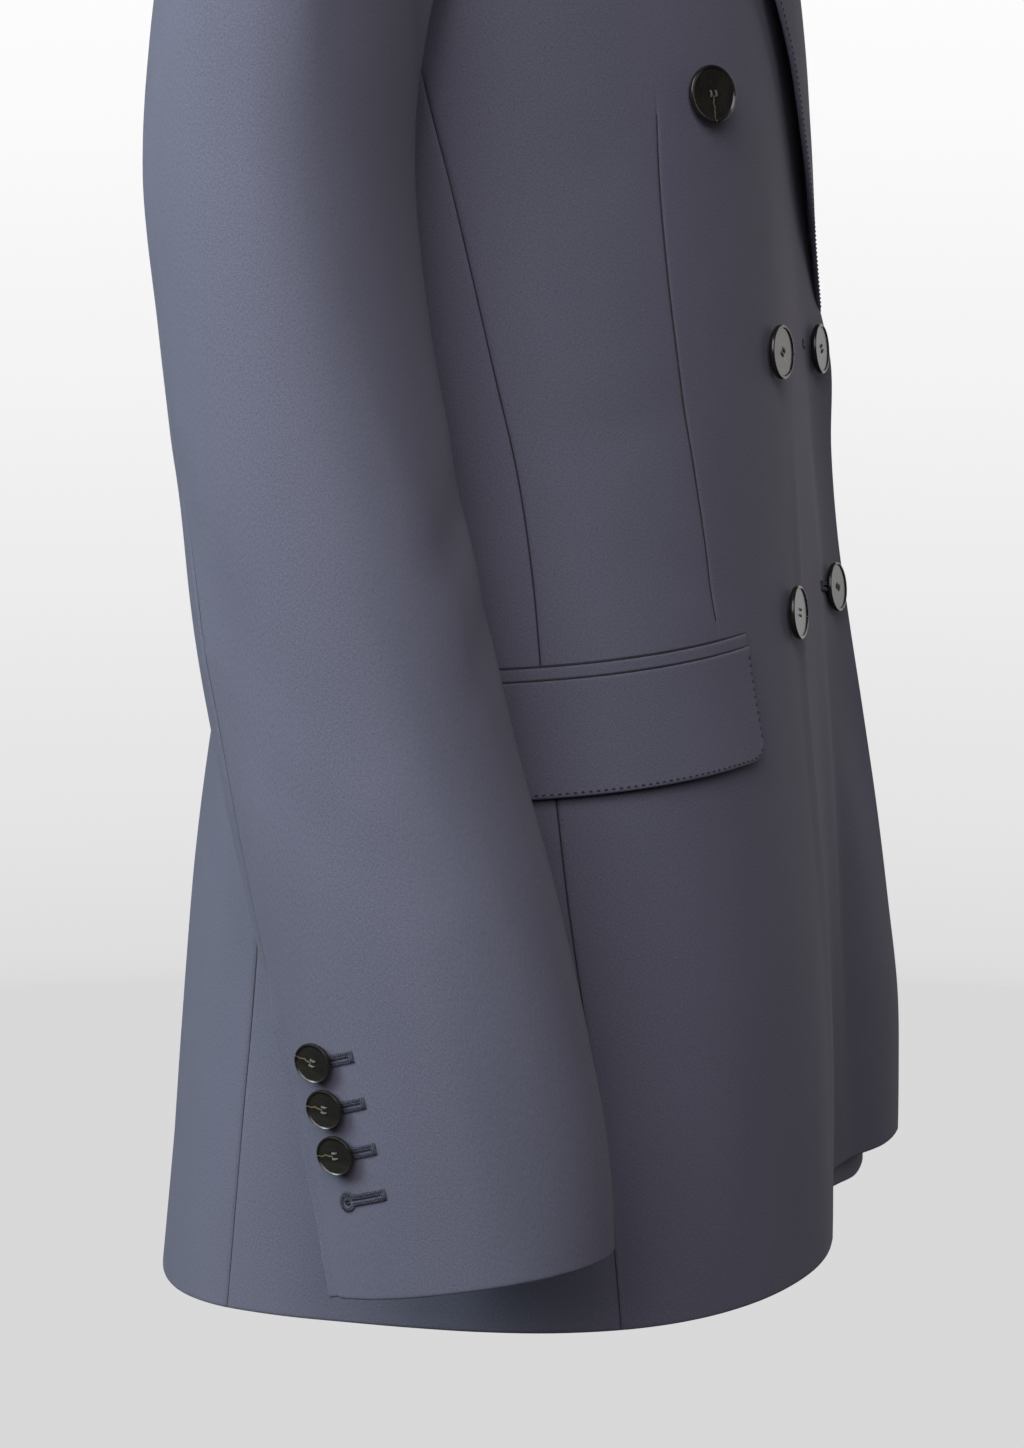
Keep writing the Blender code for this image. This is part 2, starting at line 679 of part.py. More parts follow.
def neck_ring(angle, lean, rise):
    """A point over the back neckline; angle 0 is one neck side, 180 the other."""
    turn = math.radians(angle)
    x = -(NECK_HALF + lean) * math.cos(turn)
    back = math.sin(turn)
    base = body_point(180.0, back_neck_turn(0.0))
    y = (base.y + lean) * back
    z = base.z * back ** NECK_DIP_POWER + rise
    return Vector((x, y, z))


def stand_height(angle):
    return STAND_SIDE_H + (STAND_BACK_H - STAND_SIDE_H) * math.sin(math.radians(angle))


def collar_stand(material, collection):
    reach = 180 - 2 * STAND_END_ANGLE
    angles = [STAND_END_ANGLE + reach * i / COLLAR_CELLS for i in range(COLLAR_CELLS + 1)]
    shares = (0.0, 0.5, 1.0)

    def grid(lean):
        return [[neck_ring(a, lean - STAND_LEAN * share, STAND_GAP + stand_height(a) * share)
                 for a in angles] for share in shares]

    return cloth("collar_stand", grid(0.0), grid(-CLOTH), material, collection)


def collar_fall(material, collection):
    """The leaf of the collar, from the right gorge round the neck to the left."""
    shares = COLLAR_SHARES
    tip_x, tip_z = COLLAR_TIP

    def front_row(part, lift, side):
        # part 0 is the gorge, part 1 the shoulder seam.
        roll_z = GORGE_Z * (1 - part)
        edge_x = tip_x + (-COLLAR_EDGE_X - tip_x) * part
        edge_z = tip_z + (shoulder_z(edge_x) - tip_z) * part
        rise = (STAND_SIDE_H + LAYER_GAP) * part ** 1.5
        row = []
        for i, share in enumerate(shares):
            x = roll_x(roll_z) + (edge_x - roll_x(roll_z)) * share
            z = roll_z + (edge_z - roll_z) * share
            if part == 0 and share < 1:
                # The end of the leaf follows the gorge as far as the notch.
                along = share / shares[-2]
                x = roll_x(GORGE_Z) + (GORGE_END[0] - roll_x(GORGE_Z)) * along
                z = GORGE_Z + (GORGE_END[1] - GORGE_Z) * along + SEAM_GAP
            point = chest_point(x, z, LAYER_GAP * (1 + 2 * share) + lift)
            point.z += rise * (1 - share ** ROLL_SOFTNESS)
            point.x *= side
            row.append(point)
        return row

    def back_row(angle, lift):
        back = math.sin(math.radians(angle))
        base = neck_ring(angle, 0.0, 0.0)
        edge_x = -COLLAR_EDGE_X * math.cos(math.radians(angle))
        edge_z = shoulder_z(edge_x) + (COLLAR_BACK_Z - shoulder_z(edge_x)) * back ** 1.2
        rise = stand_height(angle) + LAYER_GAP
        row = []
        for share in shares:
            x = base.x + (edge_x - base.x) * share
            z = base.z + (edge_z - base.z) * share
            point = chest_point(x, min(z, shoulder_z(x)), LAYER_GAP * (1 + 2 * share) + lift,
                                back=True)
            point.y += (base.y - LEAF_LEAN * back + lift - point.y) * (1 - share) ** 3
            point.z += rise * (1 - share ** ROLL_SOFTNESS)
            row.append(point)
        return row

    def grid(lift):
        front_parts = (0.0, 0.25, 0.5, 0.75)
        rows = [front_row(part, lift, 1) for part in front_parts]
        rows += [back_row(180 * i / COLLAR_CELLS, lift) for i in range(COLLAR_CELLS + 1)]
        rows += [front_row(part, lift, -1) for part in reversed(front_parts)]
        return rows

    return cloth("collar_fall", grid(CLOTH), grid(0.0), material, collection)


# ---------------------------------------------------------------- pockets
def pocket_places():
    """Angles along the right pocket from its front end, evenly spread."""
    level = POCKET_FRONT_Z - CHEST_Z
    start = angle_at_x(-POCKET_FRONT_X, level)
    end = start
    length = 0.0
    step = 0.25
    while length < POCKET_WIDTH:
        length += (body_point(end - step, level) - body_point(end, level)).length
        end -= step
    return start, end


def pocket_columns():
    """Shares of the pocket's width, closer at its rounded ends."""
    ends = POCKET_END_SHARES
    width = 1 - 2 * ends[-1]
    middle = [ends[-1] + width * i / POCKET_CELLS for i in range(1, POCKET_CELLS)]
    return list(ends) + middle + [1 - share for share in reversed(ends)]


def pocket_piece(name, top, height, corner_r, lift_top, lift_bottom, cells, material,
                 collection, mirror):
    start, end = pocket_places()
    outer = []
    inner = []
    for r in range(cells + 1):
        outer_row = []
        inner_row = []
        for share in pocket_columns():
            angle = start + (end - start) * share
            from_end = min(share, 1 - share) * POCKET_WIDTH
            rest = max(corner_r - from_end, 0.0)
            cut = corner_r - math.sqrt(max(corner_r ** 2 - rest ** 2, 0.0))
            part = r / cells
            z = POCKET_FRONT_Z - POCKET_DROP * share - top - (height - cut) * part
            lift = lift_top + (lift_bottom - lift_top) * part
            level = z - CHEST_Z
            outer_row.append(body_point(angle, level, lift + CLOTH))
            inner_row.append(body_point(angle, level, lift))
        outer.append(outer_row)
        inner.append(inner_row)
    return cloth(name, outer, inner, material, collection, mirror)


# ---------------------------------------------------------------- buttons
def button_profile(radius, height):
    """Half section of a button, from the middle of its face down to its shank."""
    profile = [(radius * r, height * z) for r, z in BUTTON_SECTION]
    shank_r = radius * SHANK_SHARE
    return profile + [(shank_r, 0.0), (shank_r, -SHANK_H), (0.0, -SHANK_H)]


def button_mesh(name, radius, height, steps, material):
    mesh = bpy.data.meshes.new(name)
    profile = [(r, 0.0, z) for r, z in button_profile(radius, height)]
    edges = [(i, i + 1) for i in range(len(profile) - 1)]
    mesh.from_pydata(profile, edges, [])
    mesh.materials.append(material)
    return mesh, steps


def place_button(name, shape, point, normal, collection):
    mesh, steps = shape
    button = bpy.data.objects.new(name, mesh)
    button.location = point + normal * (SHANK_H + SEAM_GAP)
    button.rotation_euler = normal.to_track_quat("Z", "Y").to_euler()
    turned = button.modifiers.new("turned", "SCREW")
    turned.axis = "Z"
    turned.steps = steps
    turned.render_steps = steps
    turned.use_merge_vertices = True
    turned.merge_threshold = BUTTON_MERGE
    turned.use_smooth_shade = True
    collection.objects.link(button)
    return button


def on_side(vector, sign):
    """A point or direction of the right half, mirrored where sign is -1."""
    return Vector((vector.x * sign, vector.y, vector.z))


def front_button_place(x, z):
    """Point and outward direction of the front under a button."""
    level = z - CHEST_Z
    on_right_front = x < roll_x(z)
    # The left front is the right one without its flare, mirrored.
    sign = 1 if on_right_front else -1

    def surface(angle, height):
        return body_point(angle, height, 0.0, over=on_right_front)

    angle = angle_at_x(x * sign, level)
    normal = outward(surface, angle, level, 0.5, 0.002)
    return on_side(surface(angle, level), sign), on_side(normal, sign)


def cuff_button_place(z):
    line = CUFF_BUTTON_ANGLE * SLEEVE_COUNT / 360

    def surface(place, height):
        return sleeve_point(place, height, 0.0)

    return surface(line, z), -outward(surface, line, z, 0.05, 0.002)


# ---------------------------------------------------------------- materials
def finish(name, colour, roughness, metallic=0.0):
    material = bpy.data.materials.new(name)
    material.use_nodes = True
    shader = material.node_tree.nodes["Principled BSDF"]
    shader.inputs["Base Color"].default_value = (*colour, 1.0)
    shader.inputs["Roughness"].default_value = roughness
    shader.inputs["Metallic"].default_value = metallic
    return material


# ---------------------------------------------------------------- assembly
def main():
    for item in list(bpy.data.objects):
        bpy.data.objects.remove(item, do_unlink=True)
    parts = bpy.data.collections.new("blazer")
    bpy.context.scene.collection.children.link(parts)

    def suiting(name):
        return finish(name, (0.105, 0.110, 0.145), 0.85)

    def horn(name):
        return finish(name, (0.020, 0.020, 0.017), 0.30)

    front_panel("front_right", False, suiting("front_right"), parts)
    front_panel("front_left", True, suiting("front_left"), parts)
    lapel("lapel_right", False, suiting("lapel_right"), parts)
    lapel("lapel_left", True, suiting("lapel_left"), parts)
    collar_stand(suiting("collar_stand"), parts)
    collar_fall(suiting("collar_fall"), parts)
    for side, mirror in (("right", False), ("left", True)):
        side_panel(f"side_{side}", suiting(f"side_{side}"), parts, mirror)
        back_panel(f"back_{side}", suiting(f"back_{side}"), parts, mirror)
        sleeve_panel(f"sleeve_upper_{side}", FORE_SEAM_LINE - SLEEVE_COUNT, HIND_SEAM_LINE,
                     suiting(f"sleeve_upper_{side}"), parts, mirror)
        sleeve_panel(f"sleeve_under_{side}", HIND_SEAM_LINE, FORE_SEAM_LINE,
                     suiting(f"sleeve_under_{side}"), parts, mirror)
        pocket_piece(f"pocket_jet_{side}", 0.0, JET_H, 0.0, LAYER_GAP, LAYER_GAP, 1,
                     suiting(f"pocket_jet_{side}"), parts, mirror)
        pocket_piece(f"pocket_flap_{side}", JET_H, FLAP_H, FLAP_CORNER_R, LAYER_GAP,
                     FLAP_STAND_OFF, FLAP_ROWS, suiting(f"pocket_flap_{side}"), parts, mirror)

    coat_shape = button_mesh("coat_button", BUTTON_R, BUTTON_H, COAT_BUTTON_STEPS,
                             horn("coat_button"))
    for row, (z, from_centre) in enumerate(BUTTON_ROWS, start=1):
        for side, x in (("right", -from_centre), ("left", from_centre)):
            point, normal = front_button_place(x, z)
            place_button(f"button_{row}_{side}", coat_shape, point, normal, parts)

    cuff_shape = button_mesh("cuff_button", CUFF_BUTTON_R, CUFF_BUTTON_H, CUFF_BUTTON_STEPS,
                             horn("cuff_button"))
    for side, sign in (("right", 1), ("left", -1)):
        for number, z in enumerate(CUFF_BUTTON_Z, start=1):
            point, normal = cuff_button_place(z)
            place_button(f"cuff_button_{side}_{number}", cuff_shape, on_side(point, sign),
                         on_side(normal, sign), parts)


main()
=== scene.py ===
# %% [markdown]
# # A worn double-breasted blazer
#
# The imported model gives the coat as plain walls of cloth, each cut and sewn
# piece on its own. This script keeps their form and their place, and makes
# what the eye looks for: the twill, the pressed seams, the turned lapel, the
# worked buttonholes and the horn buttons with their thread.

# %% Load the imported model
import math

import bmesh
import bpy
import numpy as np
from mathutils import Matrix, Vector


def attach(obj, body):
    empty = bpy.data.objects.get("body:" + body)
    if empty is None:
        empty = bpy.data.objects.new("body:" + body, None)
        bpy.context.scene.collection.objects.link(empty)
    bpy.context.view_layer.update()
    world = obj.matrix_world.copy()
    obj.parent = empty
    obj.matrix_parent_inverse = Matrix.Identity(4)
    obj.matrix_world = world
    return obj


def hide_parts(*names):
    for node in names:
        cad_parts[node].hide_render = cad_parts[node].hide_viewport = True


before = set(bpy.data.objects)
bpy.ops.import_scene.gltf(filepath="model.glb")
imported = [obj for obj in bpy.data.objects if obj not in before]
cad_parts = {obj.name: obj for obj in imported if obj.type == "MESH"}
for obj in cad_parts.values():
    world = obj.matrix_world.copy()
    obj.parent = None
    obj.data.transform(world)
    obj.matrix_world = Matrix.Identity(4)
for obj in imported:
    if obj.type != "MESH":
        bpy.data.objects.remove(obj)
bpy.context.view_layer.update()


def in_scene(name, data):
    """A new object in the scene."""
    made = bpy.data.objects.new(name, data)
    bpy.context.scene.collection.objects.link(made)
    return made


print("nodes in the packed model:", len(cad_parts))

# %% [markdown]
# ## The camera
# The photograph is a close view from the wearer's right, taken from about
# chest height and tipped down a little. A long lens keeps the sleeve and the
# far front at almost the same scale. Its place is worked out from the sizes
# of the buttons, so everything else can be checked against it.

# %% Camera
PHOTO_HEIGHT_PX = 1448
FOCAL_PX = 2870
SENSOR_MM = 36.0
CAMERA_AT = (-1.241, -0.332, -0.353)
CAMERA_HEADING = (0.9686, 0.2487)
CAMERA_DOWN = math.radians(7.95)
CAMERA_CLIP = (0.05, 60)    # metres between which the camera sees

camera_data = bpy.data.cameras.new("view")
camera_data.sensor_width = SENSOR_MM
camera_data.lens = SENSOR_MM * FOCAL_PX / PHOTO_HEIGHT_PX
camera_data.clip_start, camera_data.clip_end = CAMERA_CLIP
camera = in_scene("view", camera_data)
camera.location = CAMERA_AT
looking = Vector((CAMERA_HEADING[0] * math.cos(CAMERA_DOWN),
                  CAMERA_HEADING[1] * math.cos(CAMERA_DOWN), -math.sin(CAMERA_DOWN)))
camera.rotation_mode = "QUATERNION"
camera.rotation_quaternion = looking.to_track_quat("-Z", "Y")
bpy.context.scene.camera = camera
print("lens", round(camera_data.lens, 2), "mm")

# %% [markdown]
# ## The studio
# Two lights stand above and behind the wearer's right arm, one close by and
# one far, so the shoulder is bright, the cuff a good deal darker and the front
# in shade. A wide one like a window and two weak ones keep the folds there
# readable. Round it all stands a white sweep, as in a photographer's studio: a
# floor that curves up into the wall, so that no horizon shows. It gives the
# camera its background but no light to the cloth, which would fill the shade
# under the lapel and the flap. The buttons mirror a white card instead.

# %% Lights
GARMENT_MIDDLE = Vector((0, 0, -0.42))
LIGHTS = (
    # name, place, width, height, power in watts, colour
    ("key", (-1.10, 0.80, 0.62), 0.9, 1.1, 13.0, (0.84, 0.98, 1.0)),
    ("back_key", (-1.7, 2.0, 1.3), 1.4, 1.8, 80.0, (0.86, 0.97, 1.0)),
    ("window", (-2.2, 0.05, 1.0), 1.4, 1.8, 36.0, (1.0, 0.95, 0.98)),
    ("front_fill", (-2.4, -1.4, 1.2), 1.5, 2.0, 26.0, (1.0, 0.96, 0.99)),
    ("front_rim", (1.8, -2.2, 0.2), 1.0, 2.4, 8.0, (1.0, 0.84, 0.80)),
)
AMBIENT = (1.0, 0.86, 0.92)
AMBIENT_STRENGTH = 0.025

for name, place, width, height, power, colour in LIGHTS:
    lamp = bpy.data.lights.new(name, "AREA")
    lamp.shape = "RECTANGLE"
    lamp.size = width
    lamp.size_y = height
    lamp.energy = power
    lamp.color = colour
    lamp_object = in_scene(name, lamp)
    lamp_object.location = place
    aim = GARMENT_MIDDLE - Vector(place)
    lamp_object.rotation_euler = aim.to_track_quat("-Z", "Y").to_euler()
    lamp_object.visible_camera = False

world = bpy.data.worlds.new("studio")
world.use_nodes = True
sky = world.node_tree.nodes["Background"]
sky.inputs["Color"].default_value = (*AMBIENT, 1.0)
sky.inputs["Strength"].default_value = AMBIENT_STRENGTH
bpy.context.scene.world = world
bpy.context.scene.view_settings.view_transform = "Standard"
print("lights:", [row[0] for row in LIGHTS])

# %% Sweep
# The sweep's section, from the middle of the floor out and up: radius and height.
FLOOR_Z = -1.45
SWEEP_SECTION = ((0.0, FLOOR_Z), (3.5, FLOOR_Z), (5.5, FLOOR_Z + 0.35), (7.2, FLOOR_Z + 1.5),
                 (8.0, FLOOR_Z + 3.2), (8.0, 4.0), (6.0, 7.0), (0.0, 8.0))
SWEEP_STEPS = 64
FLOOR_GLOW = 0.69
WALL_GLOW = 0.99
GLOW_RISE = 2.2             # metres of height over which the sweep brightens
GLOW_CURVE = 0.45

sweep_points = [(radius, 0.0, height) for radius, height in SWEEP_SECTION]
sweep_mesh = bpy.data.meshes.new("sweep")
sweep_mesh.from_pydata(sweep_points, [(i, i + 1) for i in range(len(sweep_points) - 1)], [])
sweep = in_scene("sweep", sweep_mesh)
turned = sweep.modifiers.new("turned", "SCREW")
turned.steps = SWEEP_STEPS
turned.render_steps = SWEEP_STEPS
turned.use_smooth_shade = True
sweep.visible_diffuse = False
sweep.visible_shadow = False

# %% [markdown]
# ## Shader maths
# A finish is easier to read as an expression than as a row of node calls.
# `Wire` wraps the output of a node: adding or multiplying wires adds the
# Math nodes, and `node` makes every other kind.

# %% Wires between nodes
class Wire:
    """The output of a node in a material's tree."""

    def __init__(self, tree, socket=None):
        self.tree = tree
        self.socket = socket

    def node(self, kind, settings=(), sockets=(), output=0):
        made = self.tree.nodes.new("ShaderNode" + kind)
        for name, value in dict(settings).items():
            if name == "stops":
                ramp = made.color_ramp
                while len(ramp.elements) < len(value):
                    ramp.elements.new(0.5)
                for element, (place, colour) in zip(ramp.elements, value):
                    element.position = place
                    element.color = colour
            else:
                setattr(made, name, value)
        for name, value in dict(sockets).items():
            if isinstance(value, Wire):
                self.tree.links.new(value.socket, made.inputs[name])
            else:
                made.inputs[name].default_value = value
        return Wire(self.tree, made.outputs[output])

    def maths(self, operation, *values):
        return self.node("Math", {"operation": operation}, dict(enumerate(values)))

    def __add__(self, other):
        return self.maths("ADD", self, other)

    def __sub__(self, other):
        return self.maths("SUBTRACT", self, other)

    def __rsub__(self, other):
        return self.maths("SUBTRACT", other, self)

    def __mul__(self, other):
        return self.maths("MULTIPLY", self, other)

    def __truediv__(self, other):
        return self.maths("DIVIDE", self, other)

    def __pow__(self, other):
        return self.maths("POWER", self, other)

    __radd__ = __add__
    __rmul__ = __mul__

    def sine(self):
        return self.maths("SINE", self)

    def size(self):
        return self.maths("ABSOLUTE", self)

    def between(self, low, high):
        """0 below low, 1 above high and straight between."""
        return self.node("MapRange", {}, {"Value": self, "From Min": low, "From Max": high})

    def blend(self, first, second):
        """A colour from first, where this is 0, to second, where it is 1."""
        return self.node("Mix", {"data_type": "RGBA"}, {0: self, 6: first, 7: second}, output=2)

    def part(self, axis):
        """One of these coordinates."""
        return self.node("SeparateXYZ", {}, {0: self}, output=axis)

    def noise(self, scale, detail=2.0, roughness=0.5):
        """Noise over these coordinates, stretched by a scale for each axis."""
        stretched = self.node("VectorMath", {"operation": "MULTIPLY"}, {0: self, 1: scale})
        return self.node("TexNoise", {}, {"Vector": stretched, "Scale": 1.0,
                                          "Detail": detail, "Roughness": roughness})


def new_finish(name):
    """An empty material and the start of its wires."""
    made = bpy.data.materials.new(name)
    made.use_nodes = True
    made.node_tree.nodes.clear()
    return made, Wire(made.node_tree)


def finish_with(start, sockets, bump=None, constants=()):
    """Close a material: a Principled shader with these sockets and a bump's (height, metres)."""
    sockets = dict(sockets)
    if bump:
        height, distance = bump
        sockets["Normal"] = start.node("Bump", {}, {"Height": height, "Distance": distance,
                                                    "Strength": 1.0})
    sockets.update(dict(constants))
    shader = start.node("BsdfPrincipled", {}, sockets)
    output = start.tree.nodes.new("ShaderNodeOutputMaterial")
    start.tree.links.new(shader.socket, output.inputs["Surface"])


print("wires ready")

# %% [markdown]
# The sweep's colour is painted light: it shines by itself, brighter up the
# wall than on the floor, which paints the even fall from white to pale grey
# of a lit paper background.

# %% Finish of the sweep
def glowing(name, low, high):
    """A dull finish that shines by itself, more at a height than on the floor."""
    made, start = new_finish(name)
    height = start.node("NewGeometry").part(2)
    up = height.between(FLOOR_Z, FLOOR_Z + GLOW_RISE) ** GLOW_CURVE
    glow = up.blend((low, low, low, 1.0), (high, high, high, 1.0))
    finish_with(start, {"Base Color": (0, 0, 0, 1), "Emission Color": glow},
                constants={"Emission Strength": 1.0, "Specular IOR Level": 0.0, "Roughness": 1.0})
    return made


# painted light: the sweep glows though it is no lamp, and its darker floor is painted fall-off
sweep_mesh.materials.append(glowing("white_paper", FLOOR_GLOW, WALL_GLOW))

# %% A card for the buttons to mirror
CARD_CORNERS = ((4.0, -4.5, -2.5), (4.0, 1.5, -2.5), (4.0, 1.5, 1.5), (4.0, -4.5, 1.5))

card_mesh = bpy.data.meshes.new("card")
card_mesh.from_pydata(CARD_CORNERS, [], [(0, 1, 2, 3)])
card_mesh.materials.append(glowing("card_paper", WALL_GLOW, WALL_GLOW))
card = in_scene("card", card_mesh)
card.visible_camera = False
card.visible_diffuse = False
card.visible_shadow = False
sweep.visible_glossy = False
print("sweep and card in place")

# %% [markdown]
# ## Suiting
# The cloth is a smooth worsted twill: fine diagonal ribs about half a
# millimetre apart, spun from wools dyed a shade apart, so that close up it is
# slate with paler and darker flecks that run along the yarn. A picture of
# cloth would do it too, but ribs worked out from the cloth's own coordinates
# stay sharp and follow the grain of every piece. Wool fuzz lights up where
# the cloth turns away, which is the shader's sheen.

# %% Suiting finish
RIB_PITCH = 0.00048         # metres between the twill's ribs
RIB_ANGLE = math.radians(58)
RIB_HEIGHT = 0.000035
FLECK = (2300.0, 1000.0, 1.0)     # flecks per metre across and along the yarn
CLOUD = (14.0, 9.0, 1.0)          # and the wide, faint patches
TONE_SHARES = (0.74, 0.18, 0.08)  # how much of the tone is fleck, rib and cloud
SUITING_DARK = (0.064, 0.066, 0.093, 1.0)
SUITING_PALE = (0.165, 0.167, 0.225, 1.0)


def suiting_finish(name):
    made, start = new_finish(name)
    weave = start.node("UVMap", {"uv_map": "cloth"})
    wander = weave.noise((25.0, 25.0, 1.0), detail=1.0)
    phase = (weave.part(0) * math.cos(RIB_ANGLE) + weave.part(1) * math.sin(RIB_ANGLE)) / RIB_PITCH
    rib = ((phase + wander * 1.5) * (2 * math.pi)).sine() * 0.5 + 0.5
    warp_fleck = weave.noise(FLECK, detail=3.0, roughness=0.65)
    weft_fleck = weave.noise((FLECK[1], FLECK[0], 1.0), detail=2.0)
    cloud = weave.noise(CLOUD, detail=2.0)
    fleck = warp_fleck.between(0.30, 0.70) * 0.62 + weft_fleck.between(0.32, 0.68) * 0.38
    fleck_share, rib_share, cloud_share = TONE_SHARES
    tone = fleck * fleck_share + rib * rib_share + cloud.between(0.35, 0.65) * cloud_share
    colour = tone.blend(SUITING_DARK, SUITING_PALE)
    roughness = 0.74 + fleck * 0.14
    height = rib * 0.6 + warp_fleck * 0.5
    finish_with(start, {"Base Color": colour, "Roughness": roughness},
                bump=(height, RIB_HEIGHT),
                constants={"Sheen Weight": 0.10, "Sheen Roughness": 0.45,
                           "Sheen Tint": (0.75, 0.78, 0.90, 1.0),
                           "Specular IOR Level": 0.22})
    return made


suiting = suiting_finish("suiting")
print("suiting:", len(suiting.node_tree.nodes), "nodes")

# %% [markdown]
# ## Horn and thread
# The buttons are dark horn: almost black, with greenish brown streaks and a
# polished rim. Sewing thread is a twisted cord, so its finish has a spiral
# of ridges, whose tops are painted paler as painted highlight. The shade in a
# cut or under a stitch is painted shade, with its own dull dark finish.

# %% Horn, thread and shade
def horn_finish(name):
    made, start = new_finish(name)
    place = start.node("TexCoord", {}, {}, output="Object")
    streak = place.noise((90.0, 240.0, 240.0), detail=2.0)
    mottle = place.noise((900.0, 900.0, 900.0), detail=2.0)
    tone = streak.between(0.35, 0.75) * 0.7 + mottle.between(0.40, 0.75) * 0.3
    plain = tone.blend((0.011, 0.011, 0.010, 1.0), (0.024, 0.023, 0.019, 1.0))
    # A thin pale line is painted from the middle to the rim.
    bend = (place.noise((420.0, 420.0, 0.0), detail=1.0) - 0.5) * 0.0016
    off_pale_line = (place.part(1) + bend).size()
    pale_line = (1 - off_pale_line.between(0.00006, 0.00022)) * place.part(0).between(0.0004, 0.0010)
    colour = (pale_line * 0.8).blend(plain, (0.26, 0.20, 0.11, 1.0))
    roughness = 0.20 + mottle.between(0.3, 0.8) * 0.10
    finish_with(start, {"Base Color": colour, "Roughness": roughness},
                bump=(mottle, 0.00002), constants={"IOR": 1.54})
    return made


def thread_finish(name, colour):
    made, start = new_finish(name)
    place = start.node("UVMap", {"uv_map": "cloth"})
    twist = ((place.part(1) * 3.0 + place.part(0)) * (2 * math.pi)).sine() * 0.5 + 0.5
    # painted highlight: the twist that bumps the thread also paints its ridge tops paler than its
    # grooves
    painted_ridge_highlight = tuple(min(part * 1.7, 1.0) for part in colour) + (1.0,)
    finish_with(start, {"Base Color": twist.blend((*colour, 1.0), painted_ridge_highlight), "Roughness": 0.62},
                bump=(twist, 0.00004))
    return made


horn = horn_finish("horn")
sewing_thread = thread_finish("sewing_thread", (0.014, 0.015, 0.022))
hole_thread = thread_finish("buttonhole_thread", (0.036, 0.039, 0.058))
button_thread = thread_finish("button_thread", (0.100, 0.098, 0.090))
shade = thread_finish("cut_shade", (0.010, 0.010, 0.014))
print("finishes:", [item.name for item in bpy.data.materials])

# %% [markdown]
# ## The coat's own sizes
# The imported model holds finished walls, not the lines they were drawn from.
# The same sizes are repeated here, so that a seam, a buttonhole or a stitch
# can be laid exactly on the cloth.

# %% Sizes of the cloth, the body and the buttons
CLOTH = 0.0020              # wall of one panel
SEAM_GAP = 0.0003           # clearance between two sewn pieces
LAYER_GAP = 0.0010          # clearance between layers that lie on each other

CHEST_Z = -0.160            # where the upright panels start to turn over the shoulder
ARMHOLE_Z = -0.235          # where the side seams run into the armhole
ARMPIT_DROP = 0.012         # the armhole is this much deeper under the arm
HEM_Z = -0.7455
HEM_SHAPE_Z = -0.620        # below here the hem's rise and drop come in
FRONT_HEM_RISE = 0.0145
BACK_HEM_DROP = 0.005
NECK_HALF = 0.075           # half the neck opening at the shoulder seams
SHOULDER_SLOPE = 0.366
SHOULDER_SPREAD = 0.12      # the shoulder is this share wider than the chest
SHOULDER_ROUND = 0.80
BACK_NECK_DROP = 0.025
BACK_NECK_ROUND = 0.8

FRONT_EDGE_X = 0.082        # free edge of the overlap, from the centre front
BREAK_Z = -0.350            # where the lapel starts to turn
GORGE_Z = -0.045            # where the collar meets the lapel on the roll line

BUST_RISE = 0.005           # the dart's cup: how full, where, and how wide and high
BUST_X = 0.090
BUST_Z = -0.265
BUST_WIDTH = 0.050
BUST_HEIGHT = 0.070
FRONT_DIP_WIDTH = 0.045     # half width of the hollow and of the leaning part
LEAN_WIDTH = 0.100
RISE_START_X = -0.055       # the front hem starts to rise here
RISE_WIDTH = 0.065
UNDER_FRONT_RISE = 0.4      # the under front's share of that rise
BACK_DROP_SPREAD = 60.0     # degrees over which the back hem comes down

CROSSING_Z = -0.115         # above here the two fronts lie side by side
CROSSING_HEIGHT = 0.045
COVER_START = 0.018         # past the roll line by this much the over front ends
COVER_WIDTH = 0.050
FOLD_RUN_IN = 0.080         # the under front makes room this far below the break
FOLD_RUN_HEIGHT = 0.060
LAYER_EASE = 1.3            # layers of the closing, in layer gaps
LAPEL_EASE = 1.4
BUTTON_X = 0.0595           # the two lower pairs of buttons, from the centre front
TOP_BUTTON_X = 0.110

BUTTON_R = 0.01125
BUTTON_H = 0.0030
CUFF_BUTTON_R = 0.0075
CUFF_BUTTON_H = 0.0025
SHANK_H = 0.0013
SHANK_SHARE = 0.22
print("a coat button is", round(2000 * BUTTON_R, 1), "mm across")

# %% [markdown]
# ## Tables of sections
# A tailor drafts a coat from measures at a few levels and joins them by eye
# with a smooth curve. A table does the same: each row gives the measures at
# one height under named columns, and a call reads a column at any height
# between. There is one for the body from hem to chest, one for its seams,
# one for the closing's free edge, one for the armhole and one for the sleeve.

# %% Tables
class Table:
    """Rows of named columns, rising in the first, which a call reads smoothly at a place."""

    def __init__(self, names, *rows):
        self.names = names.split()
        self.rows = rows
        self.spots = [row[0] for row in rows]

    def __call__(self, key, wanted):
        spots = self.spots
        values = [row[self.names.index(key)] for row in self.rows]
        if wanted <= spots[0]:
            return values[0]
        if wanted >= spots[-1]:
            return values[-1]
        last = len(spots) - 1
        i = max(k for k in range(last) if spots[k] <= wanted)
        span = spots[i + 1] - spots[i]

        def slope(k):
            before = max(k - 1, 0)
            after = min(k + 1, last)
            return (values[after] - values[before]) / (spots[after] - spots[before])

        t = (wanted - spots[i]) / span
        rise = t * t * (3 - 2 * t)
        return (values[i] + (values[i + 1] - values[i]) * rise
                + span * (slope(i) * t * (1 - t) ** 2 - slope(i + 1) * t * t * (1 - t)))


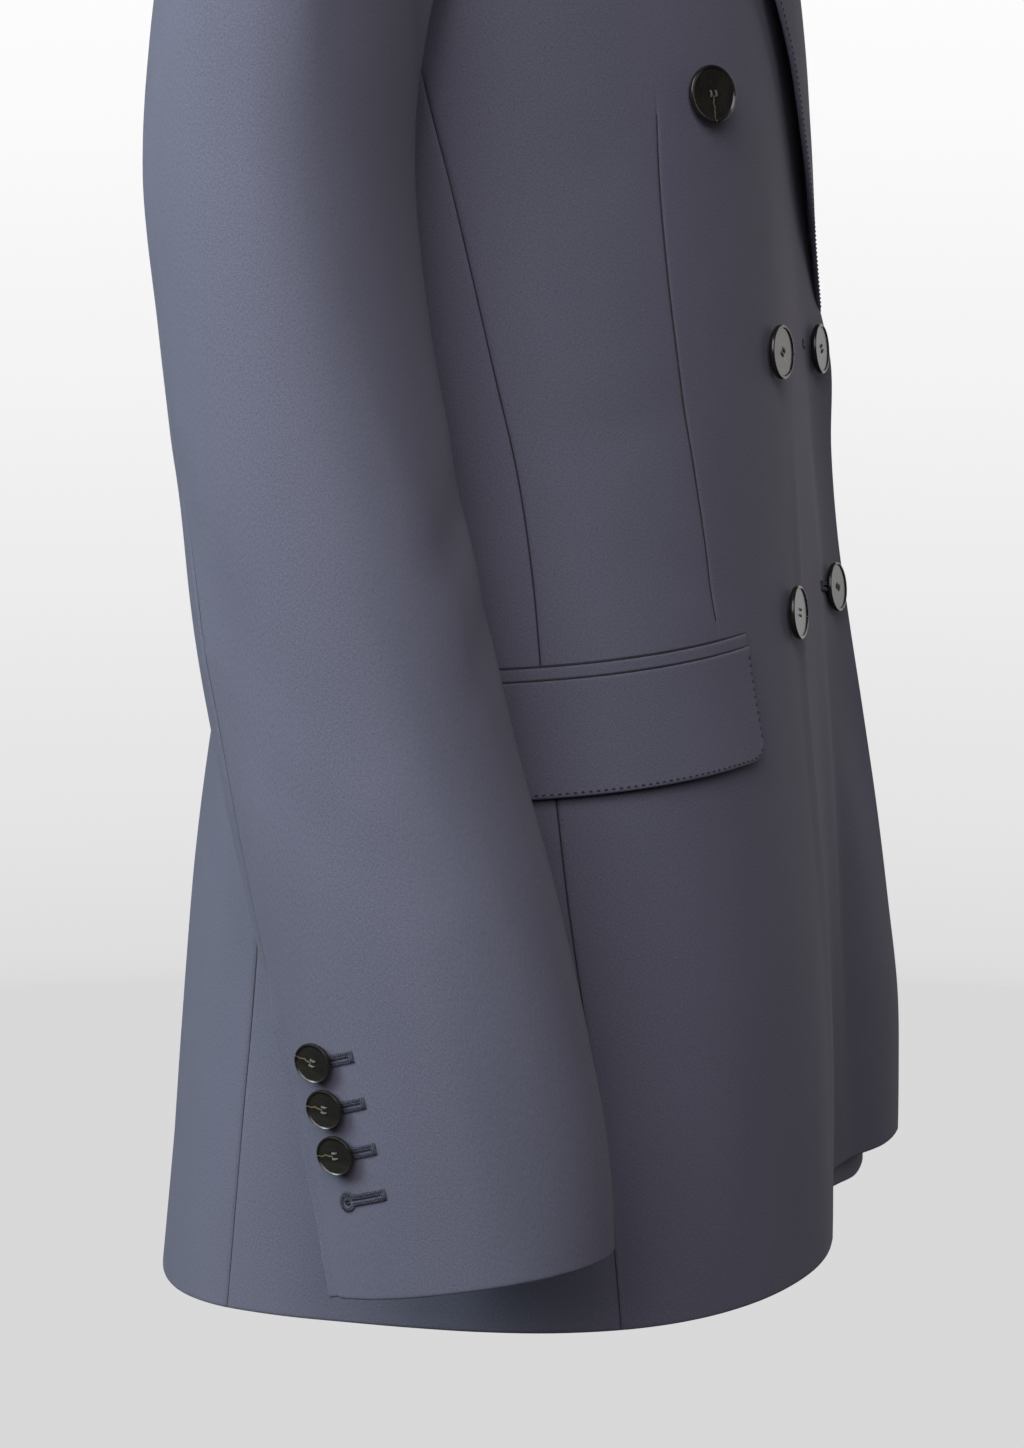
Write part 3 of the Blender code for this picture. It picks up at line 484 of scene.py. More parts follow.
# One row for each height of the body: half width, depth in front of the
# shoulder line, depth behind it, and how square the two halves are.
body_size = Table(
    "z half_width front back front_square back_square",
    (-0.750, 0.1980, 0.1740, 0.1220, 2.8, 2.9),
    (-0.700, 0.1955, 0.1725, 0.1175, 2.8, 2.8),
    (-0.640, 0.1920, 0.1690, 0.1120, 2.9, 2.7),
    (-0.575, 0.1890, 0.1620, 0.1060, 3.0, 2.6),
    (-0.520, 0.1865, 0.1550, 0.0990, 3.1, 2.5),
    (-0.470, 0.1840, 0.1490, 0.0920, 3.1, 2.4),
    (-0.410, 0.1810, 0.1435, 0.0870, 2.9, 2.4),
    (-0.360, 0.1800, 0.1390, 0.0860, 2.7, 2.4),
    (-0.310, 0.1810, 0.1365, 0.0890, 2.5, 2.4),
    (-0.260, 0.1820, 0.1345, 0.0950, 2.4, 2.4),
    (-0.210, 0.1830, 0.1310, 0.1000, 2.3, 2.4),
    (-0.160, 0.1830, 0.1250, 0.1020, 2.3, 2.4),
)

# Seams of the body: distance in front of or behind the shoulder line, and
# the front dart's distance from the centre.
seam_size = Table(
    "z front_seam back_seam dart_x",
    (-0.750, 0.1045, 0.0575, 0.1300),
    (-0.660, 0.0955, 0.0500, 0.1300),
    (-0.597, 0.0850, 0.0445, 0.1300),
    (-0.537, 0.0775, 0.0420, 0.1300),
    (-0.479, 0.0700, 0.0410, 0.1300),
    (-0.427, 0.0640, 0.0420, 0.1310),
    (-0.355, 0.0475, 0.0450, 0.1320),
    (-0.310, 0.0373, 0.0475, 0.1330),
    (-0.264, 0.0257, 0.0495, 0.1330),
    (-0.235, 0.0200, 0.0500, 0.1330),
)

# How the free edge of the right front stands out, the hollow between the two
# soft ridges of the front, and how far the front leans in at the wearer's left.
edge_size = Table(
    "z stand_out start_x hollow lean",
    (-0.750, 0.0130, 0.010, 0.0140, 0.0000),
    (-0.670, 0.0145, 0.018, 0.0110, 0.0000),
    (-0.620, 0.0125, 0.026, 0.0085, 0.0000),
    (-0.560, 0.0105, 0.044, 0.0050, 0.0000),
    (-0.500, 0.0080, 0.066, 0.0020, 0.0005),
    (-0.450, 0.0065, 0.068, 0.0000, 0.0012),
    (-0.400, 0.0080, 0.068, 0.0000, 0.0022),
    (-0.355, 0.0080, 0.068, 0.0000, 0.0028),
    (-0.330, 0.0000, 0.068, 0.0000, 0.0028),
    (-0.260, 0.0000, 0.068, 0.0000, 0.0010),
    (-0.180, 0.0000, 0.068, 0.0000, 0.0000),
)

# Armhole above the side seams: the level, then the half width to the edge.
# A level of 0 or less is metres below CHEST_Z, and one above 0 is the share
# of the turn over the shoulder.
armhole_size = Table(
    "level front_x back_x",
    (-0.050, 0.1775, 0.1670),
    (-0.025, 0.1735, 0.1650),
    (0.000, 0.1710, 0.1645),
    (1 / 6, 0.1700, 0.1650),
    (2 / 6, 0.1710, 0.1670),
    (3 / 6, 0.1740, 0.1710),
    (4 / 6, 0.1815, 0.1795),
    (5 / 6, 0.1910, 0.1905),
    (1.000, 0.1980, 0.1980),
)

print("half width at the chest:", body_size("half_width", CHEST_Z), "m")

# %% Sleeve sections
# Sleeve sections below the cap, for the right arm: centre, half the width
# from front to back, half the width across, and how far the front is raised.
sleeve_size = Table(
    "z x y half_y half_x tilt",
    (-0.700, -0.2530, -0.0630, 0.0535, 0.0290, 0.200),
    (-0.665, -0.2540, -0.0594, 0.0551, 0.0315, 0.195),
    (-0.620, -0.2545, -0.0510, 0.0555, 0.0350, 0.180),
    (-0.565, -0.2535, -0.0376, 0.0559, 0.0390, 0.160),
    (-0.510, -0.2515, -0.0235, 0.0543, 0.0425, 0.130),
    (-0.460, -0.2490, -0.0126, 0.0531, 0.0455, 0.100),
    (-0.410, -0.2460, -0.0036, 0.0504, 0.0485, 0.070),
    (-0.355, -0.2430, 0.0054, 0.0480, 0.0510, 0.040),
    (-0.300, -0.2405, 0.0113, 0.0477, 0.0530, 0.000),
)
SLEEVE_COUNT = 24           # lines along the sleeve, 15 degrees apart
HIND_SEAM_LINE = 11         # line 0 is the front of the arm, line 6 the outside
FORE_SEAM_LINE = 22
CAP_STEPS = (0.0, 0.08, 0.19, 0.32, 0.47, 0.64, 0.82)
CAP_STAND = 0.90            # how steeply the cap leaves the body beside the armhole
CAP_TOP_EASE = 0.60         # and how much less so on top of the shoulder
CAP_ROUND = 0.35            # fullness of the curve from the armhole to the arm
FOLD_START = 75.0           # degrees from the armpit where the turned-back part starts
FOLD_SPREAD = 45.0
SLEEVE_SQUARE = 0.92        # exponent of the sleeve's sections, 1 is an ellipse

print("lines along the sleeve:", SLEEVE_COUNT)

# %% [markdown]
# ## What is set on the coat
# Buttons, pockets, lapels and collar have sizes of their own. They are given
# from the centre of the front, the roll line or the neck, as a tailor marks
# them with chalk, and not as points in space, so they follow the cloth.

# %% Sizes of the buttons' rows, the pockets, the lapels and the collar
# Pairs of coat buttons: their height and their distance from the centre.
BUTTON_ROWS = (
    (-0.2645, TOP_BUTTON_X),
    (-0.3650, BUTTON_X),
    (-0.4725, BUTTON_X),
)
CUFF_BUTTON_LINE = 128.0 * SLEEVE_COUNT / 360
CUFF_BUTTON_Z = (-0.6110, -0.6280, -0.6450)

POCKET_FRONT_X = 0.112
POCKET_WIDTH = 0.145
POCKET_FRONT_Z = -0.4755
POCKET_DROP = 0.011         # the pocket's rear end is this much lower
JET_H = 0.0057
FLAP_H = 0.0450
FLAP_CORNER_R = 0.011
FLAP_ROWS = 4
POCKET_END_SHARES = (0.0, 0.02, 0.05, 0.09)
POCKET_CELLS = 8
POCKET_TURN = 0.25          # degrees of a step along the pocket

# Lapel: height of the outer edge's points and their distance from the roll
# line, measured level.  The last row is the gorge and the peak above it.
LAPEL_COLUMNS = ("roll_z", "outer_z", "width", "stand_off")
LAPEL_LINES = (
    (-0.348, -0.348, 0.003, 0.0010),
    (-0.325, -0.325, 0.025, 0.0030),
    (-0.300, -0.303, 0.043, 0.0045),
    (-0.270, -0.275, 0.058, 0.0050),
    (-0.235, -0.242, 0.070, 0.0050),
    (-0.200, -0.208, 0.080, 0.0045),
    (-0.170, -0.178, 0.088, 0.0045),
    (-0.146, -0.154, 0.094, 0.0045),
    (-0.124, -0.133, 0.098, 0.0045),
    (-0.103, -0.114, 0.102, 0.0045),
    (-0.083, -0.097, 0.104, 0.0040),
    (-0.063, -0.081, 0.104, 0.0040),
    (-0.045, -0.066, 0.100, 0.0035),
)
GORGE_SHARE = 0.58                # the gorge's part of the lapel's top edge
LAPEL_SHARES = (0.0, 0.18, 0.38, GORGE_SHARE, 0.80, 1.0)
ROLL_SOFTNESS = 1.3               # how gradually the lapel and the leaf leave the fold
GORGE_END = (-0.094, -0.064)      # x and z where the notch opens
COLLAR_TIP = (-0.110, -0.046)
COLLAR_EDGE_X = 0.128             # outer edge of the collar on the shoulder seam
COLLAR_BACK_Z = -0.043            # and at the centre back
STAND_BACK_H = 0.030
STAND_SIDE_H = 0.016
STAND_LEAN = 0.006                # how far the stand's top leans in to the neck
STAND_GAP = 0.0012                # and its clearance above the back panels
STAND_END_ANGLE = 6.0             # it stops short of the shoulder seams by this turn
NECK_DIP_POWER = 1.6
COLLAR_CELLS = 16
COLLAR_SHARES = (0.0, 0.12, 0.34, 0.56, 0.78, 1.0)
LEAF_LEAN = 0.004                 # the leaf's fold lies this much inside the neckline
print("points on the lapel's edge:", len(LAPEL_LINES))

# %% [markdown]
# ## The forms under the cloth
# A worn coat is a set of soft tubes. Each form gives a point from two places
# on it and a distance to stand off: `body_point` from the angle round the
# body and the level up it, `sleeve_point` from the line along the arm and the
# height, and `cap_point` from the armhole to the arm. Pieces that share a
# form fit each other without any measuring.

# %% The body's form
def clipped(value):
    """The value, kept between 0 and 1."""
    return min(max(value, 0.0), 1.0)


def ease(value):
    """A soft step from 0 to 1 as the value goes from 0 to 1."""
    value = clipped(value)
    return value * value * (3 - 2 * value)


def between(start, end, share):
    """The place at this share of the way from start to end."""
    return tuple(a + (b - a) * share for a, b in zip(start, end))


def power(value, exponent):
    return math.copysign(abs(value) ** exponent, value)


def shoulder_z(x):
    return -SHOULDER_SLOPE * max(abs(x) - NECK_HALF, 0.0)


def level_z(level):
    """The height of a level, up to where the form turns over the shoulder."""
    return CHEST_Z + min(level, 0.0)


def shoulder_turn(level):
    """How far the form has turned over the shoulder, from 0 to a right angle."""
    return max(level, 0.0) * math.pi / 2


def body_point(angle, level, lift=0.0, over=False):
    """A point of the body form.

    angle runs from 0 at the centre front to -180 or 180 degrees at the
    centre back, negative on the wearer's right.  lift moves the point out.
    over adds the stand-out of the right front's free edge.
    """
    z = level_z(level)
    turn = shoulder_turn(level)
    in_front = abs(angle) <= 90
    sideways = lift * max(math.cos(turn), 0.0)
    depth = body_size("front" if in_front else "back", z) + lift
    square = body_size("front_square" if in_front else "back_square", z)
    half_width = body_size("half_width", z) + sideways
    radians = math.radians(angle)
    x = half_width * power(math.sin(radians), 2 / square)
    y = -depth * power(math.cos(radians), 2 / square)
    if in_front:
        upright = math.cos(radians) ** 2
        cup = math.exp(-((abs(x) - BUST_X) / BUST_WIDTH) ** 2
                       - ((z - BUST_Z) / BUST_HEIGHT) ** 2)
        y -= BUST_RISE * cup * upright
        y += edge_size("hollow", z) * math.exp(-(x / FRONT_DIP_WIDTH) ** 2)
        left_x = x if over else -x
        y += edge_size("lean", z) * left_x / BUTTON_X * math.exp(-(x / LEAN_WIDTH) ** 4)
        if over:
            start = edge_size("start_x", z)
            y -= edge_size("stand_out", z) * ease((x - start) / (FRONT_EDGE_X - start))
    x *= 1 + SHOULDER_SPREAD * math.sin(turn) ** 2
    y *= max(math.cos(turn), 0.0) ** SHOULDER_ROUND
    z += (shoulder_z(x) + lift - z) * math.sin(turn)
    near_hem = ease((HEM_SHAPE_Z - z) / (HEM_SHAPE_Z - HEM_Z))
    if in_front:
        share = ease((x - RISE_START_X) / RISE_WIDTH) * (1.0 if over else UNDER_FRONT_RISE)
        z += near_hem * FRONT_HEM_RISE * share
    else:
        z -= near_hem * BACK_HEM_DROP * ease((abs(angle) - 90) / BACK_DROP_SPREAD)
    return Vector((x, y, z))


def angle_at_x(x, level, back=False):
    """The angle at which the body form has this x."""
    z = level_z(level)
    turn = shoulder_turn(level)
    square = body_size("back_square" if back else "front_square", z)
    share = abs(x) / (1 + SHOULDER_SPREAD * math.sin(turn) ** 2) / body_size("half_width", z)
    angle = math.degrees(math.asin(min(share, 1.0) ** (square / 2)))
    if back:
        angle = 180 - angle
    return math.copysign(angle, x)


def seam_angle(key, level):
    """The angle of a side seam on the wearer's left, from its depth."""
    z = level_z(level)
    back = key == "back_seam"
    share = seam_size(key, z) / body_size("back" if back else "front", z)
    square = body_size("back_square" if back else "front_square", z)
    angle = math.degrees(math.acos(share ** (square / 2)))
    return 180 - angle if back else angle


def level_at(x, z):
    """The level of the body form that has this x and z."""
    if z <= CHEST_Z:
        return z - CHEST_Z
    rise = (z - CHEST_Z) / (shoulder_z(x) - CHEST_Z)
    return math.asin(min(rise, 1.0)) / (math.pi / 2)


def chest_point(x, z, lift, over=False, back=False):
    level = level_at(x, z)
    return body_point(angle_at_x(x, level, back), level, lift, over)


def outward(point_at, first, second, step_first, step_second):
    """The outward direction of a form at one of its points."""
    here = point_at(first, second)
    normal = (point_at(first + step_first, second) - here).cross(
        point_at(first, second + step_second) - here)
    return normal.normalized()


print("the front at the chest:", [round(v, 3) for v in body_point(0.0, 0.0)])

# %% [markdown]
# ## Where the pieces end
# The cut of a coat is where its seams run on that form: the front's side
# border and its free edge along the roll line, the armhole, the neckline.
# `front_lift` makes room where one front and a folded lapel lie over the
# other, and `split` shares a line out evenly, as a tape would.

# %% Borders of the pieces
LOW_LEVELS = [z - CHEST_Z for z in
              (HEM_Z, -0.715, -0.670, -0.620, -0.575, -0.530, -0.490,
               -0.450, -0.410, -0.370, -0.335, -0.300, -0.268, ARMHOLE_Z)]
HIGH_LEVELS = armhole_size.spots
SHOULDER_X = armhole_size.rows[-1][2]       # where the armhole ends on the shoulder
SPLIT_STEPS = 48            # short straight lengths that a line is measured by
SIDE_CELLS = 6
SIDE_SHARES = [i / SIDE_CELLS for i in range(SIDE_CELLS + 1)]
BACK_SHARES = (0.0, 0.126, 0.253, NECK_HALF / SHOULDER_X, 0.503, 0.627, 0.752, 0.876, 1.0)


def roll_x(z):
    """The roll line of the right lapel, from the break to the neck."""
    share = clipped((z - BREAK_Z) / -BREAK_Z)
    return FRONT_EDGE_X + (-NECK_HALF - FRONT_EDGE_X) * share


def front_border(level):
    """Angles of the right front's side border and free edge at a level."""
    if level <= LOW_LEVELS[-1]:
        side = -seam_angle("front_seam", level)
    else:
        side = angle_at_x(-armhole_size("front_x", level), level)
    z = level_z(level) * (1 - math.sin(shoulder_turn(level)))
    free = angle_at_x(roll_x(z), level)
    return side, free


def tucked(x, z):
    """1 where the right front and its lapel's fold cover this place, else 0."""
    below_crossing = ease((CROSSING_Z - z) / CROSSING_HEIGHT)
    return (1 - ease((x - roll_x(z) - COVER_START) / COVER_WIDTH)) * below_crossing


def front_lift(x, z, under):
    """How far the under front lies inside the over front."""
    if not under:
        return 0.0
    # Above the break it lies under both the front and the folded lapel.
    above_break = ease((z - BREAK_Z + FOLD_RUN_IN) / FOLD_RUN_HEIGHT)
    return -tucked(x, z) * (CLOTH + LAYER_GAP * LAYER_EASE) * (1 + above_break)


def split(point_at, start, end, shares):
    """Angles that split the line from start to end at these shares of its length."""
    angles = [start + (end - start) * i / SPLIT_STEPS for i in range(SPLIT_STEPS + 1)]
    points = [point_at(angle) for angle in angles]
    lengths = [0.0]
    for before, after in zip(points, points[1:]):
        lengths.append(lengths[-1] + (after - before).length)
    result = []
    for wanted in shares:
        target = lengths[-1] * wanted
        i = max(k for k in range(SPLIT_STEPS) if lengths[k] <= target)
        share = (target - lengths[i]) / max(lengths[i + 1] - lengths[i], 1e-9)
        result.append(angles[i] + (angles[i + 1] - angles[i]) * share)
    return result


def back_neck_turn(x):
    """The share of the shoulder turn at which the back neckline lies."""
    inside = 1 - min(abs(x) / NECK_HALF, 1.0) ** 2
    return math.asin(1 - BACK_NECK_DROP * inside ** BACK_NECK_ROUND / -CHEST_Z) / (math.pi / 2)


def armpit_drop(place):
    """How much deeper the armhole is at one of the side panel's lines."""
    return ARMPIT_DROP * math.sin(math.pi * place / SIDE_CELLS) ** 2


def armhole_loop():
    """Places (angle, level) of the right armhole, one for each sleeve line."""
    front = [(front_border(level)[0], level) for level in HIGH_LEVELS]
    back = [(angle_at_x(-armhole_size("back_x", level), level, back=True), level)
            for level in HIGH_LEVELS]
    start = -seam_angle("front_seam", LOW_LEVELS[-1])
    end = -seam_angle("back_seam", LOW_LEVELS[-1])
    bottom = split(lambda a: body_point(a, LOW_LEVELS[-1]), start, end, SIDE_SHARES)
    under_arm = [(angle, LOW_LEVELS[-1] - armpit_drop(i)) for i, angle in enumerate(bottom)]
    # Line 0 is three places above the front side seam.
    return front[2:] + back[-2::-1] + under_arm[::-1] + front[:2]


ARMHOLE = armhole_loop()
print("places round the armhole:", len(ARMHOLE))

# %% The sleeve's form
def sleeve_point(line, z, lift):
    """A point of the right sleeve below its cap; line 0 is the front."""
    turn = math.radians(line * 360 / SLEEVE_COUNT)
    across = (sleeve_size("half_x", z) + lift) * power(math.sin(turn), SLEEVE_SQUARE)
    along = (sleeve_size("half_y", z) + lift) * power(math.cos(turn), SLEEVE_SQUARE)
    return Vector((sleeve_size("x", z) - across, sleeve_size("y", z) - along,
                   z + sleeve_size("tilt", z) * along))


def cap_point(line, share, lift):
    """A point of the sleeve cap, between the armhole and the first section."""
    i = int(math.floor(line)) % SLEEVE_COUNT
    part = line - math.floor(line)

    def corner(k):
        # Round a place of the armhole: the edge, straight in, and along the edge.
        here = body_point(*ARMHOLE[k])
        inward = (body_point(*ARMHOLE[k], -CLOTH) - here).normalized()
        along = body_point(*ARMHOLE[(k + 1) % SLEEVE_COUNT]) - body_point(*ARMHOLE[k - 1])
        across = along.cross(inward).normalized()
        # Under the arm the sleeve turns back and hangs outside the side panel.
        from_armpit = abs(k * 360 / SLEEVE_COUNT - 270)
        fold = math.pi * clipped((FOLD_START - from_armpit) / FOLD_SPREAD)
        inside = inward * math.cos(fold) + across * math.sin(fold)
        leave = across * math.cos(fold) - inward * math.sin(fold)
        # Elsewhere it stands off the body, fuller at the front and back than on top.
        top = math.sin(math.radians(k * 360 / SLEEVE_COUNT)) ** 2 if k < SLEEVE_COUNT / 2 else 0.0
        leave = (leave - inward * (CAP_STAND - CAP_TOP_EASE * top) * math.cos(fold / 2)).normalized()
        start = here - inward * SEAM_GAP * math.sin(fold / 2)
        start -= inside * lift
        end = sleeve_point(k, sleeve_size.spots[-1], lift)
        reach = (end - start).length
        first = start + leave * reach * CAP_ROUND
        last = end + Vector((0, 0, 1)) * reach * CAP_ROUND
        return (start * (1 - share) ** 3 + first * 3 * share * (1 - share) ** 2
                + last * 3 * share * share * (1 - share) + end * share ** 3)

    if part < 1e-9:
        return corner(i)
    return corner(i).lerp(corner((i + 1) % SLEEVE_COUNT), part)


print("the cuff's front:", [round(v, 3) for v in sleeve_point(0, sleeve_size.spots[0], 0.0)])

# %% Lines of the lapel, the collar and the pocket
def lapel_rows():
    """Places (x, z, distance off the front) of the right lapel."""
    rows = []
    last = len(LAPEL_LINES) - 1
    for i, values in enumerate(LAPEL_LINES):
        line = dict(zip(LAPEL_COLUMNS, values))
        start = (roll_x(line["roll_z"]), line["roll_z"])
        end = (roll_x(line["outer_z"]) - line["width"], line["outer_z"])
        row = []
        for share in LAPEL_SHARES:
            x, z = between(start, end, share)
            # The gorge is straight to the notch, then the peak rises.
            if i == last and share <= GORGE_SHARE:
                x, z = between(start, GORGE_END, share / GORGE_SHARE)
            elif i == last:
                x, z = between(GORGE_END, end, (share - GORGE_SHARE) / (1 - GORGE_SHARE))
            row.append((x, z, line["stand_off"] * share ** ROLL_SOFTNESS))
        rows.append(row)
    return rows


def neck_ring(angle, lean, rise):
    """A point over the back neckline; angle 0 is one neck side, 180 the other."""
    turn = math.radians(angle)
    x = -(NECK_HALF + lean) * math.cos(turn)
    back = math.sin(turn)
    base = body_point(180.0, back_neck_turn(0.0))
    y = (base.y + lean) * back
    z = base.z * back ** NECK_DIP_POWER + rise
    return Vector((x, y, z))


def stand_height(angle):
    return STAND_SIDE_H + (STAND_BACK_H - STAND_SIDE_H) * math.sin(math.radians(angle))


def pocket_ends():
    """The angles at which the right pocket starts and ends."""
    level = POCKET_FRONT_Z - CHEST_Z
    start = angle_at_x(-POCKET_FRONT_X, level)
    end = start
    length = 0.0
    while length < POCKET_WIDTH:
        length += (body_point(end - POCKET_TURN, level) - body_point(end, level)).length
        end -= POCKET_TURN
    return start, end


def pocket_columns():
    """Shares of the pocket's width, closer at its rounded ends."""
    ends = POCKET_END_SHARES
    width = 1 - 2 * ends[-1]
    middle = [ends[-1] + width * i / POCKET_CELLS for i in range(1, POCKET_CELLS)]
    return list(ends) + middle + [1 - share for share in reversed(ends)]


print("the pocket's ends, in degrees:", [round(angle, 1) for angle in pocket_ends()])

# %% Where the buttons sit
# Small steps on a form, from which its outward direction is read.
SMALL_ANGLE = 0.5
SMALL_LINE = 0.05
SMALL_HEIGHT = 0.002


def on_side(vector, sign):
    """A point or direction of the right half, mirrored where sign is -1."""
    return Vector((vector.x * sign, vector.y, vector.z))


def front_button_place(x, z):
    """Point and outward direction of the front under a button."""
    level = z - CHEST_Z
    on_right_front = x < roll_x(z)
    # The left front is the right one without its flare, mirrored.
    sign = 1 if on_right_front else -1

    def surface(angle, height):
        return body_point(angle, height, 0.0, over=on_right_front)

    angle = angle_at_x(x * sign, level)
    normal = outward(surface, angle, level, SMALL_ANGLE, SMALL_HEIGHT)
    return on_side(surface(angle, level), sign), on_side(normal, sign)


def cuff_button_place(z):
    def surface(place, height):
        return sleeve_point(place, height, 0.0)

    return (surface(CUFF_BUTTON_LINE, z),
            -outward(surface, CUFF_BUTTON_LINE, z, SMALL_LINE, SMALL_HEIGHT))

# %% [markdown]
# ## From a few lines to cloth
# Cloth could be left to a simulation, but a pressed coat has to keep its cut.
# So each piece starts as a coarse net of points on its form. `resample` runs
# a smooth curve through every row and every column and reads it off about
# every 5 mm, with extra lines close to each border, where the cloth rolls
# into a seam or round a folded edge.

# %% Nets of cloth
NEAR = (0.0, 0.0003, 0.0008, 0.0016, 0.0030)    # lines this far in from a border
CELL = 0.0046


def xyz(point):
    """A point or a direction as an array."""
    return np.array(tuple(point), float)


def places(points):
    """Points as rows of an array."""
    return np.array([[tuple(point) for point in row] for row in points])


def stretch(length, cells):
    """Distances along one stretch: close at its ends, even between."""
    near = np.array(NEAR) * min(1.0, length / (4 * NEAR[-1]))
    middle = np.linspace(near[-1], length - near[-1], cells + 1)
    return np.concatenate([near[:-1], middle, length - near[-2::-1]])


def lengths_along(points):
    steps = np.linalg.norm(np.diff(points, axis=0), axis=1)
    return np.concatenate([[0.0], np.cumsum(np.maximum(steps, 1e-7))])


def smooth_at(points, knots, wanted):
    """The smooth curve through points, which lie at knots, read at the wanted places."""
    slopes = np.gradient(points, knots, axis=0, edge_order=2 if len(points) > 2 else 1)
    i = np.clip(np.searchsorted(knots, wanted, side="right") - 1, 0, len(points) - 2)
    span = (knots[i + 1] - knots[i])[:, None]
    t = (wanted - knots[i])[:, None] / span
    return (points[i] * (1 + 2 * t) * (1 - t) ** 2 + points[i + 1] * t * t * (3 - 2 * t)
            + slopes[i] * span * t * (1 - t) ** 2 - slopes[i + 1] * span * t * t * (1 - t))


def resample(points, stops=(-1,), cell=CELL):
    """Every row of points made denser; stops are the columns that a stretch ends at."""
    knots = np.array([lengths_along(row) for row in points])
    starts = (0,) + tuple(stops[:-1])
    cells = [max(2, round(float(np.mean(knots[:, stop] - knots[:, start])) / cell))
             for start, stop in zip(starts, stops)]
    made = []
    for row, knot in zip(points, knots):
        at = np.zeros(1)
        for start, stop, count in zip(starts, stops, cells):
            at = np.concatenate([at, knot[start] + stretch(knot[stop] - knot[start], count)[1:]])
        made.append(smooth_at(row, knot, at))
    return np.array(made)


def net(rows, stops=(-1,), cell=CELL):
    """A dense net from coarse rows of points."""
    points = resample(places(rows), stops, cell)
    return resample(points.transpose(1, 0, 2), cell=cell).transpose(1, 0, 2)


def facing(points, outside):
    """The net's normals, turned to the side that `outside` points to."""
    normal = np.cross(np.gradient(points, axis=1), np.gradient(points, axis=0))
    normal /= np.maximum(np.linalg.norm(normal, axis=2, keepdims=True), 1e-12)
    return normal * np.sign((normal @ np.array(outside, float)).sum())


def from_border(points, side):
    """Each point's distance to one border of its net, along the cloth."""
    if side == "top":
        return from_border(points[::-1], "bottom")[::-1]
    if side == "right":
        return from_border(points[:, ::-1], "left")[:, ::-1]
    if side == "bottom":
        return from_border(points.transpose(1, 0, 2), "left").T
    return np.array([lengths_along(row) for row in points])


print("lines near a border:", [f"{distance * 1000:g} mm" for distance in NEAR])

# %% [markdown]
# ## Creases
# Worn cloth is never quite smooth: it drags from the armhole, breaks at the
# elbow and the waist, and pulls a little towards a button. Each crease is
# placed as a soft line with its own width and height, below zero for a
# trough. The pocket jets and flaps, the buttonholes and the cuff buttons get
# the same creases as the cloth under them, so that they move with it.

# %% Creases
# Places are (degrees round the body, height) or (line of the sleeve, height).
CREASE_COLUMNS = ("start", "bend", "end", "width", "height")
BODY_CREASES = {
    "right": (
        ((-118, -0.262), (-124, -0.330), (-129, -0.395), 0.0150, 0.0022),
        ((-131, -0.250), (-138, -0.318), (-141, -0.372), 0.0120, -0.0016),
        ((-108, -0.352), (-128, -0.381), (-152, -0.398), 0.0140, -0.0022),
        ((-124, -0.418), (-146, -0.424), (-168, -0.416), 0.0120, -0.0013),
        ((-150, -0.455), (-153, -0.560), (-151, -0.690), 0.0210, 0.0022),
        ((-123, -0.480), (-126, -0.590), (-128, -0.720), 0.0180, -0.0018),
        ((-70, -0.262), (-61, -0.292), (-50, -0.303), 0.0110, -0.0009),
        ((-72, -0.392), (-57, -0.402), (-36, -0.381), 0.0130, -0.0011),
        ((-60, -0.437), (-44, -0.447), (-28, -0.467), 0.0100, -0.0008),
        ((-45, -0.560), (-44, -0.630), (-42, -0.730), 0.0190, 0.0013),
        ((-62, -0.545), (-64, -0.640), (-66, -0.735), 0.0170, -0.0012),
        ((-4, -0.385), (-6, -0.560), (-8, -0.760), 0.0055, 0.0019),
        ((5, -0.470), (4, -0.600), (4, -0.760), 0.0090, -0.0022),
    ),
    "left": (
        ((-116, -0.258), (-121, -0.322), (-127, -0.381), 0.0140, 0.0020),
        ((-133, -0.262), (-141, -0.325), (-146, -0.389), 0.0130, -0.0019),
        ((-110, -0.367), (-131, -0.390), (-149, -0.401), 0.0130, -0.0018),
        ((-149, -0.470), (-151, -0.580), (-153, -0.705), 0.0200, 0.0020),
        ((-121, -0.500), (-124, -0.600), (-127, -0.715), 0.0190, -0.0020),
        ((-68, -0.258), (-60, -0.285), (-49, -0.300), 0.0120, -0.0010),
        ((-70, -0.383), (-53, -0.399), (-38, -0.392), 0.0120, -0.0013),
        ((-47, -0.570), (-46, -0.650), (-45, -0.735), 0.0180, 0.0014),
        ((-63, -0.550), (-65, -0.640), (-66, -0.730), 0.0160, -0.0013),
    ),
}
